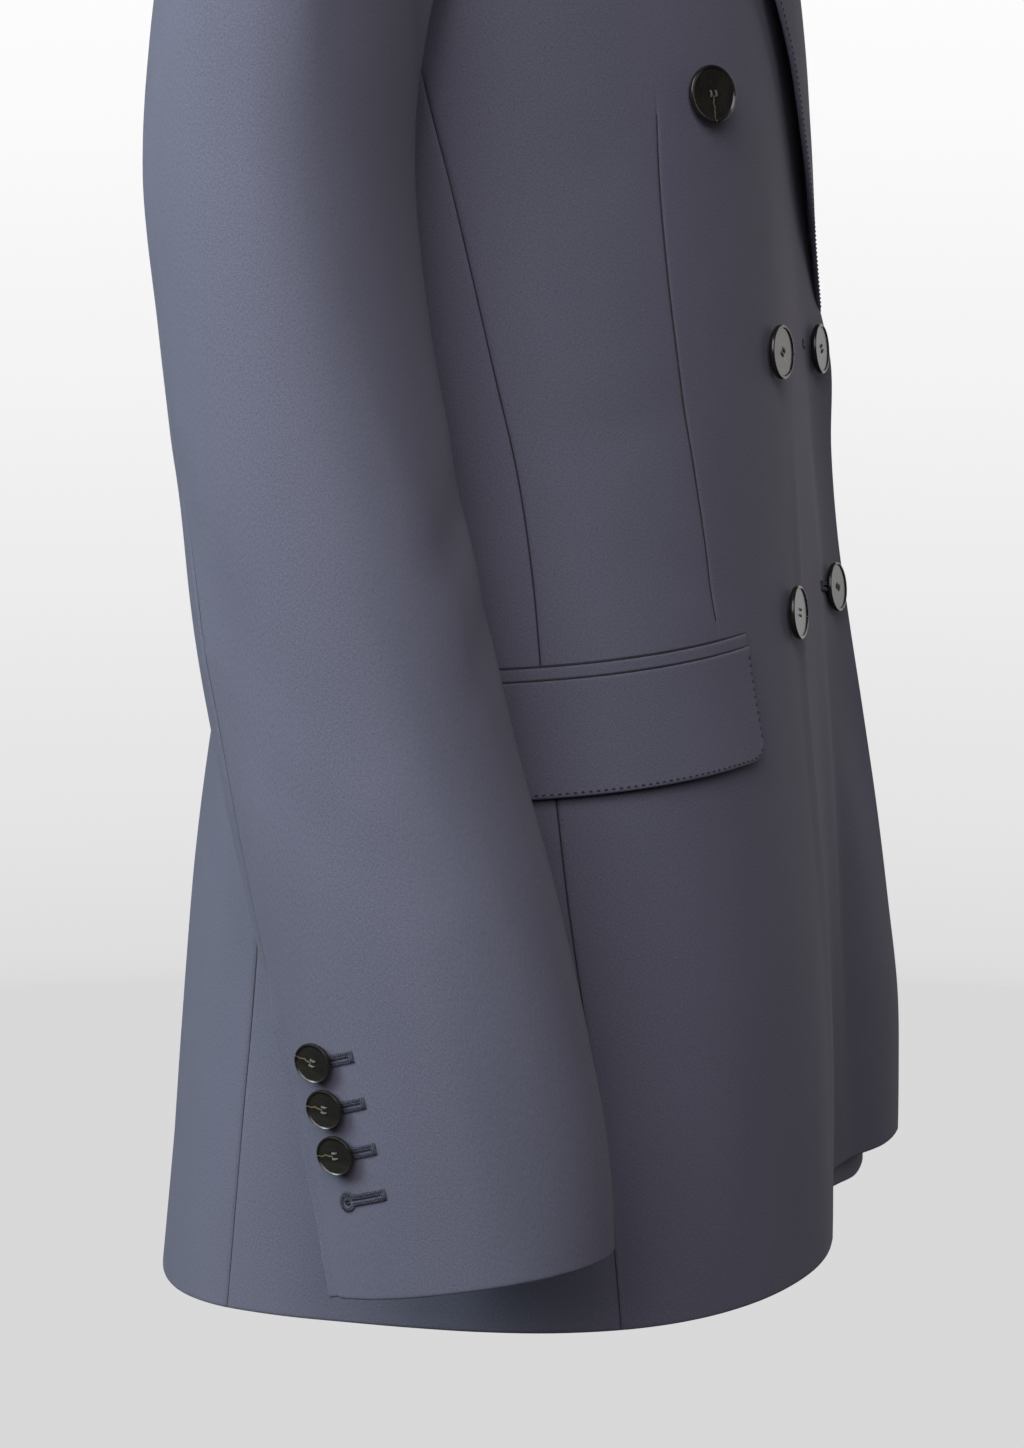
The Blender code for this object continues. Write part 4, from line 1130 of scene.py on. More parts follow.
SLEEVE_CREASES = {
    "right": (
        ((10.4, -0.395), (8.4, -0.455), (5.0, -0.520), 0.0170, -0.0019),
        ((9.6, -0.472), (7.4, -0.515), (4.2, -0.566), 0.0130, -0.0011),
        ((2.8, -0.350), (2.1, -0.430), (1.3, -0.505), 0.0120, 0.0011),
        ((5.4, -0.560), (4.9, -0.620), (5.1, -0.688), 0.0120, 0.0009),
        ((-1.8, -0.402), (0.4, -0.436), (2.6, -0.449), 0.0110, -0.0020),
        ((-1.6, -0.452), (0.2, -0.470), (2.0, -0.500), 0.0100, -0.0013),
        ((21.8, -0.395), (19.6, -0.420), (16.0, -0.452), 0.0130, -0.0020),
        ((21.5, -0.470), (18.0, -0.500), (14.2, -0.560), 0.0140, -0.0015),
    ),
    "left": (
        ((10.2, -0.410), (8.1, -0.462), (5.4, -0.512), 0.0150, -0.0017),
        ((9.8, -0.352), (8.2, -0.388), (6.0, -0.410), 0.0120, -0.0010),
        ((2.6, -0.362), (1.9, -0.441), (1.2, -0.512), 0.0130, 0.0012),
        ((5.0, -0.552), (4.6, -0.612), (4.9, -0.680), 0.0130, 0.0010),
        ((-1.8, -0.412), (0.3, -0.441), (2.9, -0.463), 0.0120, -0.0021),
        ((21.8, -0.405), (19.2, -0.426), (16.4, -0.460), 0.0120, -0.0018),
        ((21.4, -0.462), (18.3, -0.508), (14.6, -0.548), 0.0130, -0.0016),
    ),
}
CREASE_STEPS = 12
CREASE_ROUND = 0.8          # how soon a crease is at its full height


def crease_lift(points, creases, place):
    """How far each point is raised by creases; place turns a crease's ends into points."""
    lift = np.zeros(points.shape[:-1])
    for values in creases:
        crease = dict(zip(CREASE_COLUMNS, values))
        path = []
        for i in range(CREASE_STEPS + 1):
            t = i / CREASE_STEPS
            weights = ((1 - t) ** 2, 2 * t * (1 - t), t * t)
            spot = [sum(w * crease[key][k] for w, key in zip(weights, ("start", "bend", "end")))
                    for k in range(2)]
            path.append(tuple(place(*spot)))
        path = np.array(path)
        best = np.full(points.shape[:-1], np.inf)
        height = np.zeros(points.shape[:-1])
        for i, (first, last) in enumerate(zip(path, path[1:])):
            step = last - first
            t = np.clip((points - first) @ step / (step @ step), 0, 1)
            distance = np.linalg.norm(points - first - t[..., None] * step, axis=-1)
            nearer = distance < best
            best = np.where(nearer, distance, best)
            height = np.where(nearer, np.sin(np.pi * (i + t) / CREASE_STEPS) ** CREASE_ROUND,
                              height)
        lift += crease["height"] * height * np.exp(-(best / crease["width"]) ** 2)
    return lift


def body_creases(points, side):
    return crease_lift(points, BODY_CREASES[side],
                       lambda angle, z: body_point(angle, z - CHEST_Z))


def sleeve_creases(points, side):
    return crease_lift(points, SLEEVE_CREASES[side], lambda line, z: sleeve_point(line, z, 0.0))


print("creases:", {side: len(BODY_CREASES[side]) + len(SLEEVE_CREASES[side])
                   for side in BODY_CREASES})

# %% [markdown]
# ## One wall of cloth
# A piece of cloth is two faces 2 mm apart and the edge between them. A border
# that is sewn rolls in by just under a millimetre, so that two of them meet in
# a fine pressed line. A folded edge is round. `wall` does both, closes the
# wall, lays the cloth's own coordinates on it for the weave, and says what
# flat piece it was cut from.

# %% Walls, their cloth coordinates and their cut
SEAM_ROLL = 0.00085
SEAM_ROLL_WIDTH = 0.0021
EDGE_ROUND = CLOTH * 0.47
BORDERS = ("left", "right", "bottom", "top")


def rolled(points, kinds):
    """How far the outer face, and both faces, are let down by each border's kind."""
    outer = np.zeros(points.shape[:2])
    both = np.zeros(points.shape[:2])
    for side, kind in zip(BORDERS, kinds.split()):
        distance = from_border(points, side)
        if kind == "seam":
            outer -= SEAM_ROLL * np.clip(1 - distance / SEAM_ROLL_WIDTH, 0, 1) ** 2
        elif kind == "fold":
            share = np.clip(1 - distance / EDGE_ROUND, 0, 1)
            both = np.minimum(both, EDGE_ROUND * (np.sqrt(1 - share ** 2) - 1))
    return outer, both


def cloth_coordinates(points, grain):
    """Distances along the cloth, across from its grain line and up from its hem."""
    across = from_border(points, "left")
    across -= across[:, grain][:, None]
    return np.stack([across, from_border(points, "bottom")], axis=2)


def new_piece(name, points, faces, corners, material):
    """A smooth piece, with the cloth's coordinates at each corner of its faces."""
    mesh = bpy.data.meshes.new(name)
    mesh.from_pydata(points.tolist(), [], faces)
    mesh.shade_smooth()
    mesh.uv_layers.new(name="cloth").data.foreach_set("uv", corners)
    mesh.materials.append(material)
    return in_scene(name, mesh)


def shell(name, outer, inner, coordinates, material, mirror=False):
    """A closed wall between two nets of points of the same size."""
    rows, columns = outer.shape[:2]
    count = rows * columns
    points = np.concatenate([outer.reshape(-1, 3), inner.reshape(-1, 3)])
    if mirror:
        points = points * (-1, 1, 1)
    at = np.arange(count).reshape(rows, columns)
    face = np.stack([at[:-1, :-1], at[:-1, 1:], at[1:, 1:], at[1:, :-1]], axis=2).reshape(-1, 4)
    around = np.concatenate([at[0], at[1:, -1], at[-1, -2::-1], at[-2:0:-1, 0]])
    after = np.roll(around, -1)
    rim = np.stack([after, around, around + count, after + count], axis=1)
    faces = np.concatenate([face, face[:, ::-1] + count, rim])
    # A face in the middle has to look away from the wall's inside.
    middle = len(face) // 2
    corners = points[faces[middle]]
    looks = np.cross(corners[1] - corners[0], corners[3] - corners[0])
    if looks @ (points[faces[middle][0]] - points[faces[middle][0] + count]) < 0:
        faces = faces[:, ::-1]
    both = np.concatenate([coordinates.reshape(-1, 2)] * 2)
    return new_piece(name, points, faces.tolist(), both[faces.ravel()].ravel(), material)


def flat_cut(points):
    """Width, length and area of the flat cloth that a net of points was cut from."""
    width = from_border(points, "left")[:, -1].max()
    length = from_border(points, "bottom")[-1].max()
    first = np.cross(points[:-1, 1:] - points[:-1, :-1], points[1:, :-1] - points[:-1, :-1])
    second = np.cross(points[1:, :-1] - points[1:, 1:], points[:-1, 1:] - points[1:, 1:])
    area = (np.linalg.norm(first, axis=2) + np.linalg.norm(second, axis=2)).sum() / 2
    return float(width), float(length), float(min(area, width * length))


EDGES = {}      # for each piece, the outer face's net and normals, for the stitches
ALL = slice(None)


def wall(node, points, outside, kinds, lift=0.0, grain=0.5, mirror=False):
    """The cloth of one cut piece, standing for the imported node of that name.

    outside is the way its outer face looks, and kinds says how its left,
    right, bottom and top border end.
    """
    points = points + facing(points, outside) * (np.zeros(points.shape[:2]) + lift)[:, :, None]
    normal = facing(points, outside)
    seam, fold = rolled(points, kinds)
    outer = points + normal * (seam + fold)[:, :, None]
    inner = points - normal * (fold + CLOTH)[:, :, None]
    coordinates = cloth_coordinates(points, int(grain * (points.shape[1] - 1)))
    piece = shell("cloth_" + node, outer, inner, coordinates, suiting, mirror)
    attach(piece, "root")
    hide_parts(node)
    EDGES[node] = (outer, facing(outer, outside), mirror)
    width, length, area = flat_cut(outer)
    print(f"{node}: {len(piece.data.polygons)} faces, cut {width:.3f} x {length:.3f} m")
    return piece


def both_sides(make):
    """Make the wearer's right piece, then the left one as its mirror image."""
    for side in ("right", "left"):
        make(side, side == "left")


print("a sewn border rolls in by", SEAM_ROLL * 1000, "mm")

# %% [markdown]
# ## Fronts
# Each front is one piece from the side seam to the free edge, with a dart
# from under the bust to the pocket. The right one lies over the left one.
# Rows of points run round the body at the levels of the tables; the dart is
# a line of its own in every row, so that its pressed line is in the mesh.

# %% Front panels
FRONT_HALF_SHARES = [i / 8 for i in range(9)]
SEAMS = []      # the pressed lines of the seams: a piece, and rows and columns of its net
DART_FOLD = 0.00070
DART_FOLD_WIDTH = 0.0016
DART_RUN_OUT = 0.012        # length over which the dart fades at its ends
DART_SHOWN = 0.4            # its seam line starts where the dart is this deep
FLARE = 0.0050              # the right front swells where its edge turns into the lapel
FLARE_Z = -0.343
FLARE_HEIGHT = 0.038
FLARE_FROM_X = 0.020
FLARE_WIDTH = 0.055


def edge_flare(x, z):
    return (FLARE * math.exp(-((z - FLARE_Z) / FLARE_HEIGHT) ** 2)
            * ease((x - FLARE_FROM_X) / FLARE_WIDTH))


def front_cloth(side, under):
    def point(angle, level):
        here = body_point(angle, level)
        flare = 0.0 if under else edge_flare(here.x, here.z)
        return body_point(angle, level, front_lift(-here.x, here.z, under) + flare,
                          over=not under)

    rows = []
    for level in LOW_LEVELS + HIGH_LEVELS:
        border, free = front_border(level)
        dart = angle_at_x(-seam_size("dart_x", level_z(level)), level)
        to_dart = split(lambda a: body_point(a, level), border, dart, FRONT_HALF_SHARES)
        to_edge = split(lambda a: body_point(a, level), dart, free, FRONT_HALF_SHARES)
        rows.append([point(a, level) for a in to_dart + to_edge[1:]])
    half = len(FRONT_HALF_SHARES) - 1
    points = net(rows, stops=(half, 2 * half))
    # The dart's own column is the one whose cells are closest, away from the borders.
    across = from_border(points, "left")
    middle = points.shape[0] // 3
    gaps = np.diff(across[middle])
    inside = np.arange(len(gaps))[len(NEAR) + 2:-len(NEAR) - 2]
    dart_column = int(np.median(inside[gaps[inside] < NEAR[1] * 1.5])) + 1
    beside = np.abs(across - across[:, dart_column][:, None])
    height = points[:, :, 2]
    run = (np.clip((BUST_Z - height) / DART_RUN_OUT, 0, 1)
           * np.clip((height - POCKET_FRONT_Z) / DART_RUN_OUT, 0, 1))
    groove = -DART_FOLD * np.clip(1 - beside / DART_FOLD_WIDTH, 0, 1) ** 2 * run
    wall(f"front_{side}", points, (0, -1, 0),
         "seam fold fold seam",
         lift=groove + body_creases(points, side), mirror=under)
    shown = np.nonzero(run[:, dart_column] > DART_SHOWN)[0]
    SEAMS.append((f"front_{side}", (slice(shown[0], shown[-1] + 1), dart_column)))


both_sides(front_cloth)

# %% [markdown]
# ## Sides and backs
# The narrow side panel runs from the hem to the armhole. The back is two
# halves that meet in a seam down the middle, with the neckline cut out.

# %% Side and back panels
def side_cloth(side, mirror):
    rows = []
    hem = LOW_LEVELS[0]
    top = LOW_LEVELS[-1]
    for level in LOW_LEVELS:
        angles = split(lambda a: body_point(a, level), -seam_angle("front_seam", level),
                       -seam_angle("back_seam", level), SIDE_SHARES)
        rows.append([body_point(angle, level - armpit_drop(i) * (level - hem) / (top - hem))
                     for i, angle in enumerate(angles)])
    points = net(rows)
    wall(f"side_{side}", points, (-1, 0, 0),
         "seam seam fold seam",
         lift=body_creases(points, side), mirror=mirror)


def back_cloth(side, mirror):
    rows = []
    for level in LOW_LEVELS:
        angles = split(lambda a: body_point(a, level), -180.0, -seam_angle("back_seam", level),
                       BACK_SHARES)
        rows.append([body_point(angle, level) for angle in angles])
    for level in HIGH_LEVELS:
        row = []
        for share in BACK_SHARES:
            top = back_neck_turn(share * SHOULDER_X)
            here = level * top if level > 0 else level
            x = share * armhole_size("back_x", level)
            row.append(body_point(angle_at_x(-x, here, back=True) if share else -180.0, here))
        rows.append(row)
    points = net(rows)
    wall(f"back_{side}", points, (0, 1, 0),
         "seam seam fold seam",
         grain=0.0,
         lift=body_creases(points, side), mirror=mirror)


both_sides(side_cloth)
both_sides(back_cloth)

# %% [markdown]
# ## Sleeves
# A two-piece sleeve bends forward at the elbow, which is in its two seams.
# Both pieces follow the same lines along the arm. The hind seam shows as a
# fine line just inside the back of the arm. Below the elbow it becomes the
# vent: the upper piece ends there in a pressed fold that stands a little off
# the under piece, and its corner is turned up to the hem in a mitre.

# %% Sleeves
# Where the hind seam runs, in lines of the sleeve, at each height.
hind_seam = Table(
    "z line",
    (-0.700, 10.35),
    (-0.600, 10.30),
    (-0.560, 10.00),
    (-0.520, 9.65),
    (-0.440, 9.65),
    (-0.360, 10.20),
    (-0.300, 10.90),
)
VENT_Z = -0.585
VENT_RUN_IN = 0.020
VENT_STAND = 0.0012
VENT_WIDTH = 0.010
VENT_EDGE = ((0.0009, 0.0010, 0.0015), (0.0036, 0.0014, -0.0010))     # place, width, height
HEAD_ROPE = 0.0011          # fullness of the sleeve head beside its seam
HEAD_ROPE_PLACE = 0.0075
HEAD_ROPE_WIDTH = 0.006
MITRE_LENGTH = 0.018
MITRE_WIDTH = 0.0052
MITRE_HEIGHT = 0.0004
MITRE_FOLD = 0.0012         # half width of its fold


def sleeve_cloth(side, mirror, part):
    first, last = (FORE_SEAM_LINE - SLEEVE_COUNT, HIND_SEAM_LINE) if part == "upper" \
        else (HIND_SEAM_LINE, FORE_SEAM_LINE)

    def lines_at(z):
        # The lines of one row, moved so that the hind border follows its seam.
        lines = np.arange(first, last + 1, dtype=float)
        moved = hind_seam("line", z) - HIND_SEAM_LINE
        share = (lines - first) / (last - first)
        return lines + moved * (share if part == "upper" else 1 - share)

    rows = [[cap_point(line % SLEEVE_COUNT, share, 0.0) for line in range(first, last + 1)]
            for share in CAP_STEPS]
    rows += [[sleeve_point(line, z, 0.0) for line in lines_at(z)]
             for z in reversed(sleeve_size.spots)]
    points = net(rows)
    z = points[:, :, 2]
    lift = sleeve_creases(points, side)
    from_head = from_border(points, "bottom")
    if part == "upper":
        lift += HEAD_ROPE * np.exp(-((from_head - HEAD_ROPE_PLACE) / HEAD_ROPE_WIDTH) ** 2)
        in_vent = np.clip((VENT_Z - z) / VENT_RUN_IN, 0, 1)
        from_edge = from_border(points, "right")
        lift += VENT_STAND * in_vent * np.exp(-(from_edge / VENT_WIDTH) ** 2)
        # Below the seam the edge is a pressed fold, with a faint dip beside it.
        lift += SEAM_ROLL * in_vent * np.clip(1 - from_edge / SEAM_ROLL_WIDTH, 0, 1) ** 2
        for place, width, height in VENT_EDGE:
            lift += height * in_vent * np.exp(-((from_edge - place) / width) ** 2)
        # The fold of the mitre runs from the vent's edge down to the hem.
        from_hem = from_border(points, "top")
        off_mitre = from_edge - MITRE_WIDTH * (1 - from_hem / MITRE_LENGTH)
        lift += (MITRE_HEIGHT * np.exp(-(off_mitre / MITRE_FOLD) ** 2)
                 * (from_hem < MITRE_LENGTH))
    outside = (-1, 0, 0) if part == "upper" else (1, 0, 0)
    wall(f"sleeve_{part}_{side}", points, outside,
         "seam seam seam fold",
         lift=lift, mirror=mirror)


for part in ("upper", "under"):
    both_sides(lambda side, mirror: sleeve_cloth(side, mirror, part))

# %% [markdown]
# ## Lapels and collar
# A lapel isn't sewn on: it is the top of the front, turned over along its
# roll line. A flat piece on the chest would leave its fold open, so each row
# of the lapel starts inside the front's edge and comes round it in a soft
# bend. The collar's leaf comes over its stand in the same way.

# %% Lapels
ROLL_STEPS = 6
ROLL_REACH = 0.0036
ROLL_RUN_IN = 0.035         # the roll opens over this height above the break
ROLL_LEAST = 0.15           # and is this open there
ROLL_SINK = 0.0065          # at the break it has sunk into the front by this much
ROLL_FULLNESS = 0.0045      # and swells on the chest
LAPEL_BELLY = 0.0050        # how far the lapel bows off the chest, and how roundly
BELLY_ROUND = 0.7
LAPEL_CELL = 0.0030
FULL_FROM_Z = -0.310
FULL_HEIGHT = 0.120


def turned_over(row, target, arrival, reach):
    """A row of points that starts at target and bends over to the row's first point."""
    first = xyz(row[0])
    leaving = first - xyz(row[1])
    leaving /= np.linalg.norm(leaving)
    target = xyz(target)
    bends = (first, first + leaving * reach, target + xyz(arrival) * reach, target)
    made = []
    for i in range(ROLL_STEPS, 0, -1):
        t = i / ROLL_STEPS
        weights = ((1 - t) ** 3, 3 * t * (1 - t) ** 2, 3 * t * t * (1 - t), t ** 3)
        made.append(Vector(sum(w * p for w, p in zip(weights, bends))))
    return made + list(row)


def lapel_cloth(side, under):
    def point(x, z, stand_off, lift=0.0):
        if under:
            stand_off *= 1 - tucked(-x, z)
        base = front_lift(-x, z, under) + LAYER_GAP * LAPEL_EASE
        sunk = (1 - ease((z - BREAK_Z) / ROLL_RUN_IN)) * ROLL_SINK
        flare = 0.0 if under else edge_flare(x, z)
        return chest_point(x, z, base + stand_off + CLOTH + lift + flare - sunk,
                           over=not under)

    rows = []
    for row in lapel_rows():
        belly = LAPEL_BELLY * ease((row[0][1] - FULL_FROM_Z) / FULL_HEIGHT)
        points = [point(*place, lift=belly * math.sin(math.pi * share) ** BELLY_ROUND)
                  for place, share in zip(row, LAPEL_SHARES)]
        x, z = row[0][:2]
        inside = point(x, z, 0.0, lift=-CLOTH * 2 - LAYER_GAP * LAPEL_EASE)
        beyond = (points[0] - points[1]).normalized()
        opening = ROLL_LEAST + (1 - ROLL_LEAST) * ease((z - BREAK_Z) / ROLL_RUN_IN)
        full = ROLL_FULLNESS * ease((z - FULL_FROM_Z) / FULL_HEIGHT)
        rows.append(turned_over(points, inside, beyond, ROLL_REACH * opening + full))
    points = net(rows, stops=(ROLL_STEPS, -1), cell=LAPEL_CELL)
    wall(f"lapel_{side}", points, (0, -1, 0),
         "fold fold fold seam",
         mirror=under)


both_sides(lapel_cloth)

# %% Collar
COLLAR_ROLL_REACH = 0.0065
COLLAR_FRONT_PARTS = (0.0, 0.25, 0.5, 0.75)
COLLAR_CELL = 0.0036
LEAF_RISE = 1.5             # exponents: how soon its fold rises to the shoulder seam,
LEAF_DIP = 1.2              # and how roundly its edge dips to the centre back


def stand_cloth():
    reach = 180 - 2 * STAND_END_ANGLE
    angles = [STAND_END_ANGLE + reach * i / COLLAR_CELLS for i in range(COLLAR_CELLS + 1)]
    rows = [[neck_ring(a, -STAND_LEAN * share, STAND_GAP + stand_height(a) * share)
             for a in angles] for share in (0.0, 0.5, 1.0)]
    wall("collar_stand", net(rows), (0, 1, 0),
         "fold fold seam fold")


def leaf_front_row(part, sign):
    """Points of the leaf in front of the shoulder; part 0 is the gorge, 1 the shoulder seam."""
    tip_x, tip_z = COLLAR_TIP
    roll_z = GORGE_Z * (1 - part)
    edge_x = tip_x + (-COLLAR_EDGE_X - tip_x) * part
    edge_z = tip_z + (shoulder_z(edge_x) - tip_z) * part
    rise = (STAND_SIDE_H + LAYER_GAP) * part ** LEAF_RISE
    row = []
    for share in COLLAR_SHARES:
        x, z = between((roll_x(roll_z), roll_z), (edge_x, edge_z), share)
        if part == 0 and share < 1:
            x, z = between((roll_x(GORGE_Z), GORGE_Z), GORGE_END, share / COLLAR_SHARES[-2])
            z += SEAM_GAP
        point = chest_point(x, z, LAYER_GAP * (1 + 2 * share) + CLOTH)
        point.z += rise * (1 - share ** ROLL_SOFTNESS)
        row.append(point)
    inside = chest_point(roll_x(roll_z), roll_z, -CLOTH)
    beyond = Vector((1.0, 0.0, 0.0)).lerp(Vector((0.3, 0.0, 1.0)), part).normalized()
    row = turned_over(row, inside, beyond, ROLL_REACH + (COLLAR_ROLL_REACH - ROLL_REACH) * part)
    return [on_side(point, sign) for point in row]


def leaf_back_row(angle):
    back = math.sin(math.radians(angle))
    base = neck_ring(angle, 0.0, 0.0)
    edge_x = -COLLAR_EDGE_X * math.cos(math.radians(angle))
    edge_z = shoulder_z(edge_x) + (COLLAR_BACK_Z - shoulder_z(edge_x)) * back ** LEAF_DIP
    rise = stand_height(angle) + LAYER_GAP
    row = []
    for share in COLLAR_SHARES:
        x, z = between((base.x, base.z), (edge_x, edge_z), share)
        point = chest_point(x, min(z, shoulder_z(x)), LAYER_GAP * (1 + 2 * share) + CLOTH,
                            back=True)
        point.y += (base.y - LEAF_LEAN * back + CLOTH - point.y) * (1 - share) ** 3
        point.z += rise * (1 - share ** ROLL_SOFTNESS)
        row.append(point)
    inside = neck_ring(angle, -STAND_LEAN - CLOTH * 1.5, STAND_GAP + stand_height(angle) * 0.6)
    return turned_over(row, inside, Vector((0, 0, 1)), COLLAR_ROLL_REACH)


def fall_cloth():
    rows = [leaf_front_row(part, 1) for part in COLLAR_FRONT_PARTS]
    rows += [leaf_back_row(180 * i / COLLAR_CELLS) for i in range(COLLAR_CELLS + 1)]
    rows += [leaf_front_row(part, -1) for part in reversed(COLLAR_FRONT_PARTS)]
    wall("collar_fall", net(rows, stops=(ROLL_STEPS, -1), cell=COLLAR_CELL), (0, 1, 1),
         "fold fold seam seam")


stand_cloth()
fall_cloth()

# %% [markdown]
# ## Pockets
# Each hip pocket is a slit with a narrow folded strip, the jet, along its top
# and a flap that hangs from under it. The flap is two layers pressed
# together, so its edge is thick and round, and it bows off the front a
# little at its lower edge.

# %% Pockets
FLAP_BOW = 0.0022           # how far the lower edge bows off the front
FLAP_TUCK = 0.0006          # the flap starts this much above the jet's lower edge
FLAP_CORNER_SHARE = 0.6     # its corner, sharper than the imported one's
JET_STAND = 0.0012
FLAP_CURVE = 1.6            # it stays flat above and bows near its lower edge
POCKET_CELL = 0.0024


def pocket_net(top, height, corner_r, lift_top, lift_bottom, cells):
    start, end = pocket_ends()
    rows = []
    for r in range(cells + 1):
        row = []
        for share in pocket_columns():
            angle = start + (end - start) * share
            from_end = min(share, 1 - share) * POCKET_WIDTH
            rest = max(corner_r - from_end, 0.0)
            cut = corner_r - math.sqrt(max(corner_r ** 2 - rest ** 2, 0.0))
            part = r / cells
            z = POCKET_FRONT_Z - POCKET_DROP * share - top - (height - cut) * part
            lift = lift_top + (lift_bottom - lift_top) * part ** FLAP_CURVE
            row.append(body_point(angle, z - CHEST_Z, lift + CLOTH))
        rows.append(row)
    return net(rows, cell=POCKET_CELL)


def pocket_cloth(side, mirror):
    strip = pocket_net(0.0, JET_H, 0.0, 0.0, 0.0, 1)
    jet = wall(f"pocket_jet_{side}", strip, (-1, -1, 0), "fold fold fold fold",
               lift=body_creases(strip, side) - CLOTH + JET_STAND, mirror=mirror)
    flap = pocket_net(JET_H - FLAP_TUCK, FLAP_H, FLAP_CORNER_R * FLAP_CORNER_SHARE, 0.0,
                      FLAP_BOW, FLAP_ROWS)
    wall(f"pocket_flap_{side}", flap, (-1, -1, 0), "fold fold fold fold",
         lift=body_creases(flap, side), mirror=mirror)
    for part, line in (("jet", (0, ALL)), ("flap", (0, ALL)), ("jet", (ALL, 0)), ("jet", (ALL, -1))):
        SEAMS.append((f"pocket_{part}_{side}", line))


both_sides(pocket_cloth)

# %% [markdown]
# ## Thread
# Every stitch is a short length of thread with rounded ends, laid over the
# cloth in a low arch. A bump map would fake it, but a buttonhole is a few
# dozen such stitches and their knots catch the light one by one. All the
# stitches of one seam are gathered in one mesh.

# %% Lengths of thread
THREAD_SIDES = 6


def unit(vector):
    return vector / np.maximum(np.linalg.norm(vector, axis=-1, keepdims=True), 1e-12)


def ring_faces(start, rings, count, inward=False):
    """Faces between rings that each have this many points, the first ring from start."""
    faces = []
    for i in range(rings - 1):
        here = start + i * count
        for j in range(count):
            a, b = (j, (j + 1) % count)[::-1 if inward else 1]
            faces.append((here + a, here + b, here + count + b, here + count + a))
    return faces


class Sewing:
    """Lengths of thread that become one piece."""

    def __init__(self):
        self.points = []
        self.faces = []
        self.coordinates = []
        self.count = 0

    def cord(self, path, radius, up, taper=0.35):
        """A tube along a path; its ends are narrowed to this share of its radius."""
        path = np.array(path, float)
        steps = len(path)
        along = unit(np.gradient(path, axis=0))
        side = unit(np.cross(along, np.broadcast_to(up, path.shape)))
        over = np.cross(side, along)
        turn = 2 * np.pi * np.arange(THREAD_SIDES) / THREAD_SIDES
        ring = (side[:, None] * np.cos(turn)[None, :, None]
                + over[:, None] * np.sin(turn)[None, :, None])
        share = np.minimum(np.arange(steps), np.arange(steps)[::-1]) / max(steps // 3, 1)
        width = radius * (taper + (1 - taper) * np.sqrt(np.clip(share, 0, 1)))
        self.points.append((path[:, None] + ring * width[:, None, None]).reshape(-1, 3))
        length = lengths_along(path) / (2 * radius)
        self.faces += ring_faces(self.count, steps, THREAD_SIDES)
        for here, there in zip(length, length[1:]):
            for j in range(THREAD_SIDES):
                a, b = j / THREAD_SIDES, (j + 1) / THREAD_SIDES
                self.coordinates.append(((a, here), (b, here), (b, there), (a, there)))
        last = self.count + (steps - 1) * THREAD_SIDES
        self.faces.append(tuple(range(self.count + THREAD_SIDES - 1, self.count - 1, -1)))
        self.faces.append(tuple(range(last, last + THREAD_SIDES)))
        self.coordinates.append(((0.5, 0.0),) * THREAD_SIDES)
        self.coordinates.append(((0.5, float(length[-1])),) * THREAD_SIDES)
        self.count += steps * THREAD_SIDES

    def stitch(self, start, end, up, radius, arch, steps=5):
        start, end, up = xyz(start), xyz(end), xyz(up)
        t = np.linspace(0, 1, steps)[:, None]
        self.cord(start + (end - start) * t + up * arch * np.sin(np.pi * t), radius, up)

    def piece(self, name, material, mirror=False):
        points = np.concatenate(self.points)
        faces = self.faces
        coordinates = self.coordinates
        if mirror:
            points = points * (-1, 1, 1)
            faces = [face[::-1] for face in faces]
            coordinates = [corners[::-1] for corners in coordinates]
        corners = np.concatenate([np.array(c, float).ravel() for c in coordinates])
        made = new_piece(name, points, faces, corners, material)
        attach(made, "root")
        return made


print("a stitch has", THREAD_SIDES, "sides")

# %% [markdown]
# ## Pick stitches
# The flap's edges are held flat by a row of tiny hand-like stitches about
# 3 mm apart, less than two millimetres in from the edge. The same stitches run
# round the lapels and the collar. The nets have a line just there, so the
# needle only has to walk along it.

# %% Pick stitches
PICK_SPACING = 0.0030
PICK_LENGTH = 0.0014
PICK_RADIUS = 0.00034
PICK_LINE = 3               # which near line of the net they follow
PICK_ARCH = 0.00010
PICK_RAISE = 0.00002
INSET = slice(PICK_LINE + 1, -PICK_LINE - 1)
PICK_LINES = {"bottom": (PICK_LINE, INSET), "top": (-1 - PICK_LINE, INSET),
              "left": (INSET, PICK_LINE), "right": (INSET, -1 - PICK_LINE)}


def pick_row(sewing, path, normals):
    lengths = lengths_along(path)
    count = int(lengths[-1] / PICK_SPACING)
    for i in range(count):
        middle = (i + 0.5) * lengths[-1] / count
        ends = smooth_at(path, lengths, np.array([middle - PICK_LENGTH / 2,
                                                  middle + PICK_LENGTH / 2]))
        up = normals[np.searchsorted(lengths, middle)]
        ends = ends + up * PICK_RAISE
        sewing.stitch(*ends, up, PICK_RADIUS, PICK_ARCH)


def pick_edges(node, name, sides):
    outer, normal, mirror = EDGES[node]
    sewing = Sewing()
    for side in sides:
        at = PICK_LINES[side]
        pick_row(sewing, outer[at], normal[at])
    sewing.piece(name, sewing_thread, mirror)
    print(f"{name}: {len(sewing.points)} stitches")


for side in ("right", "left"):
    pick_edges(f"pocket_flap_{side}", f"pick_flap_{side}", ("left", "top", "right"))
    pick_edges(f"lapel_{side}", f"pick_lapel_{side}", ("right",))
pick_edges("collar_fall", "pick_collar", ("right",))
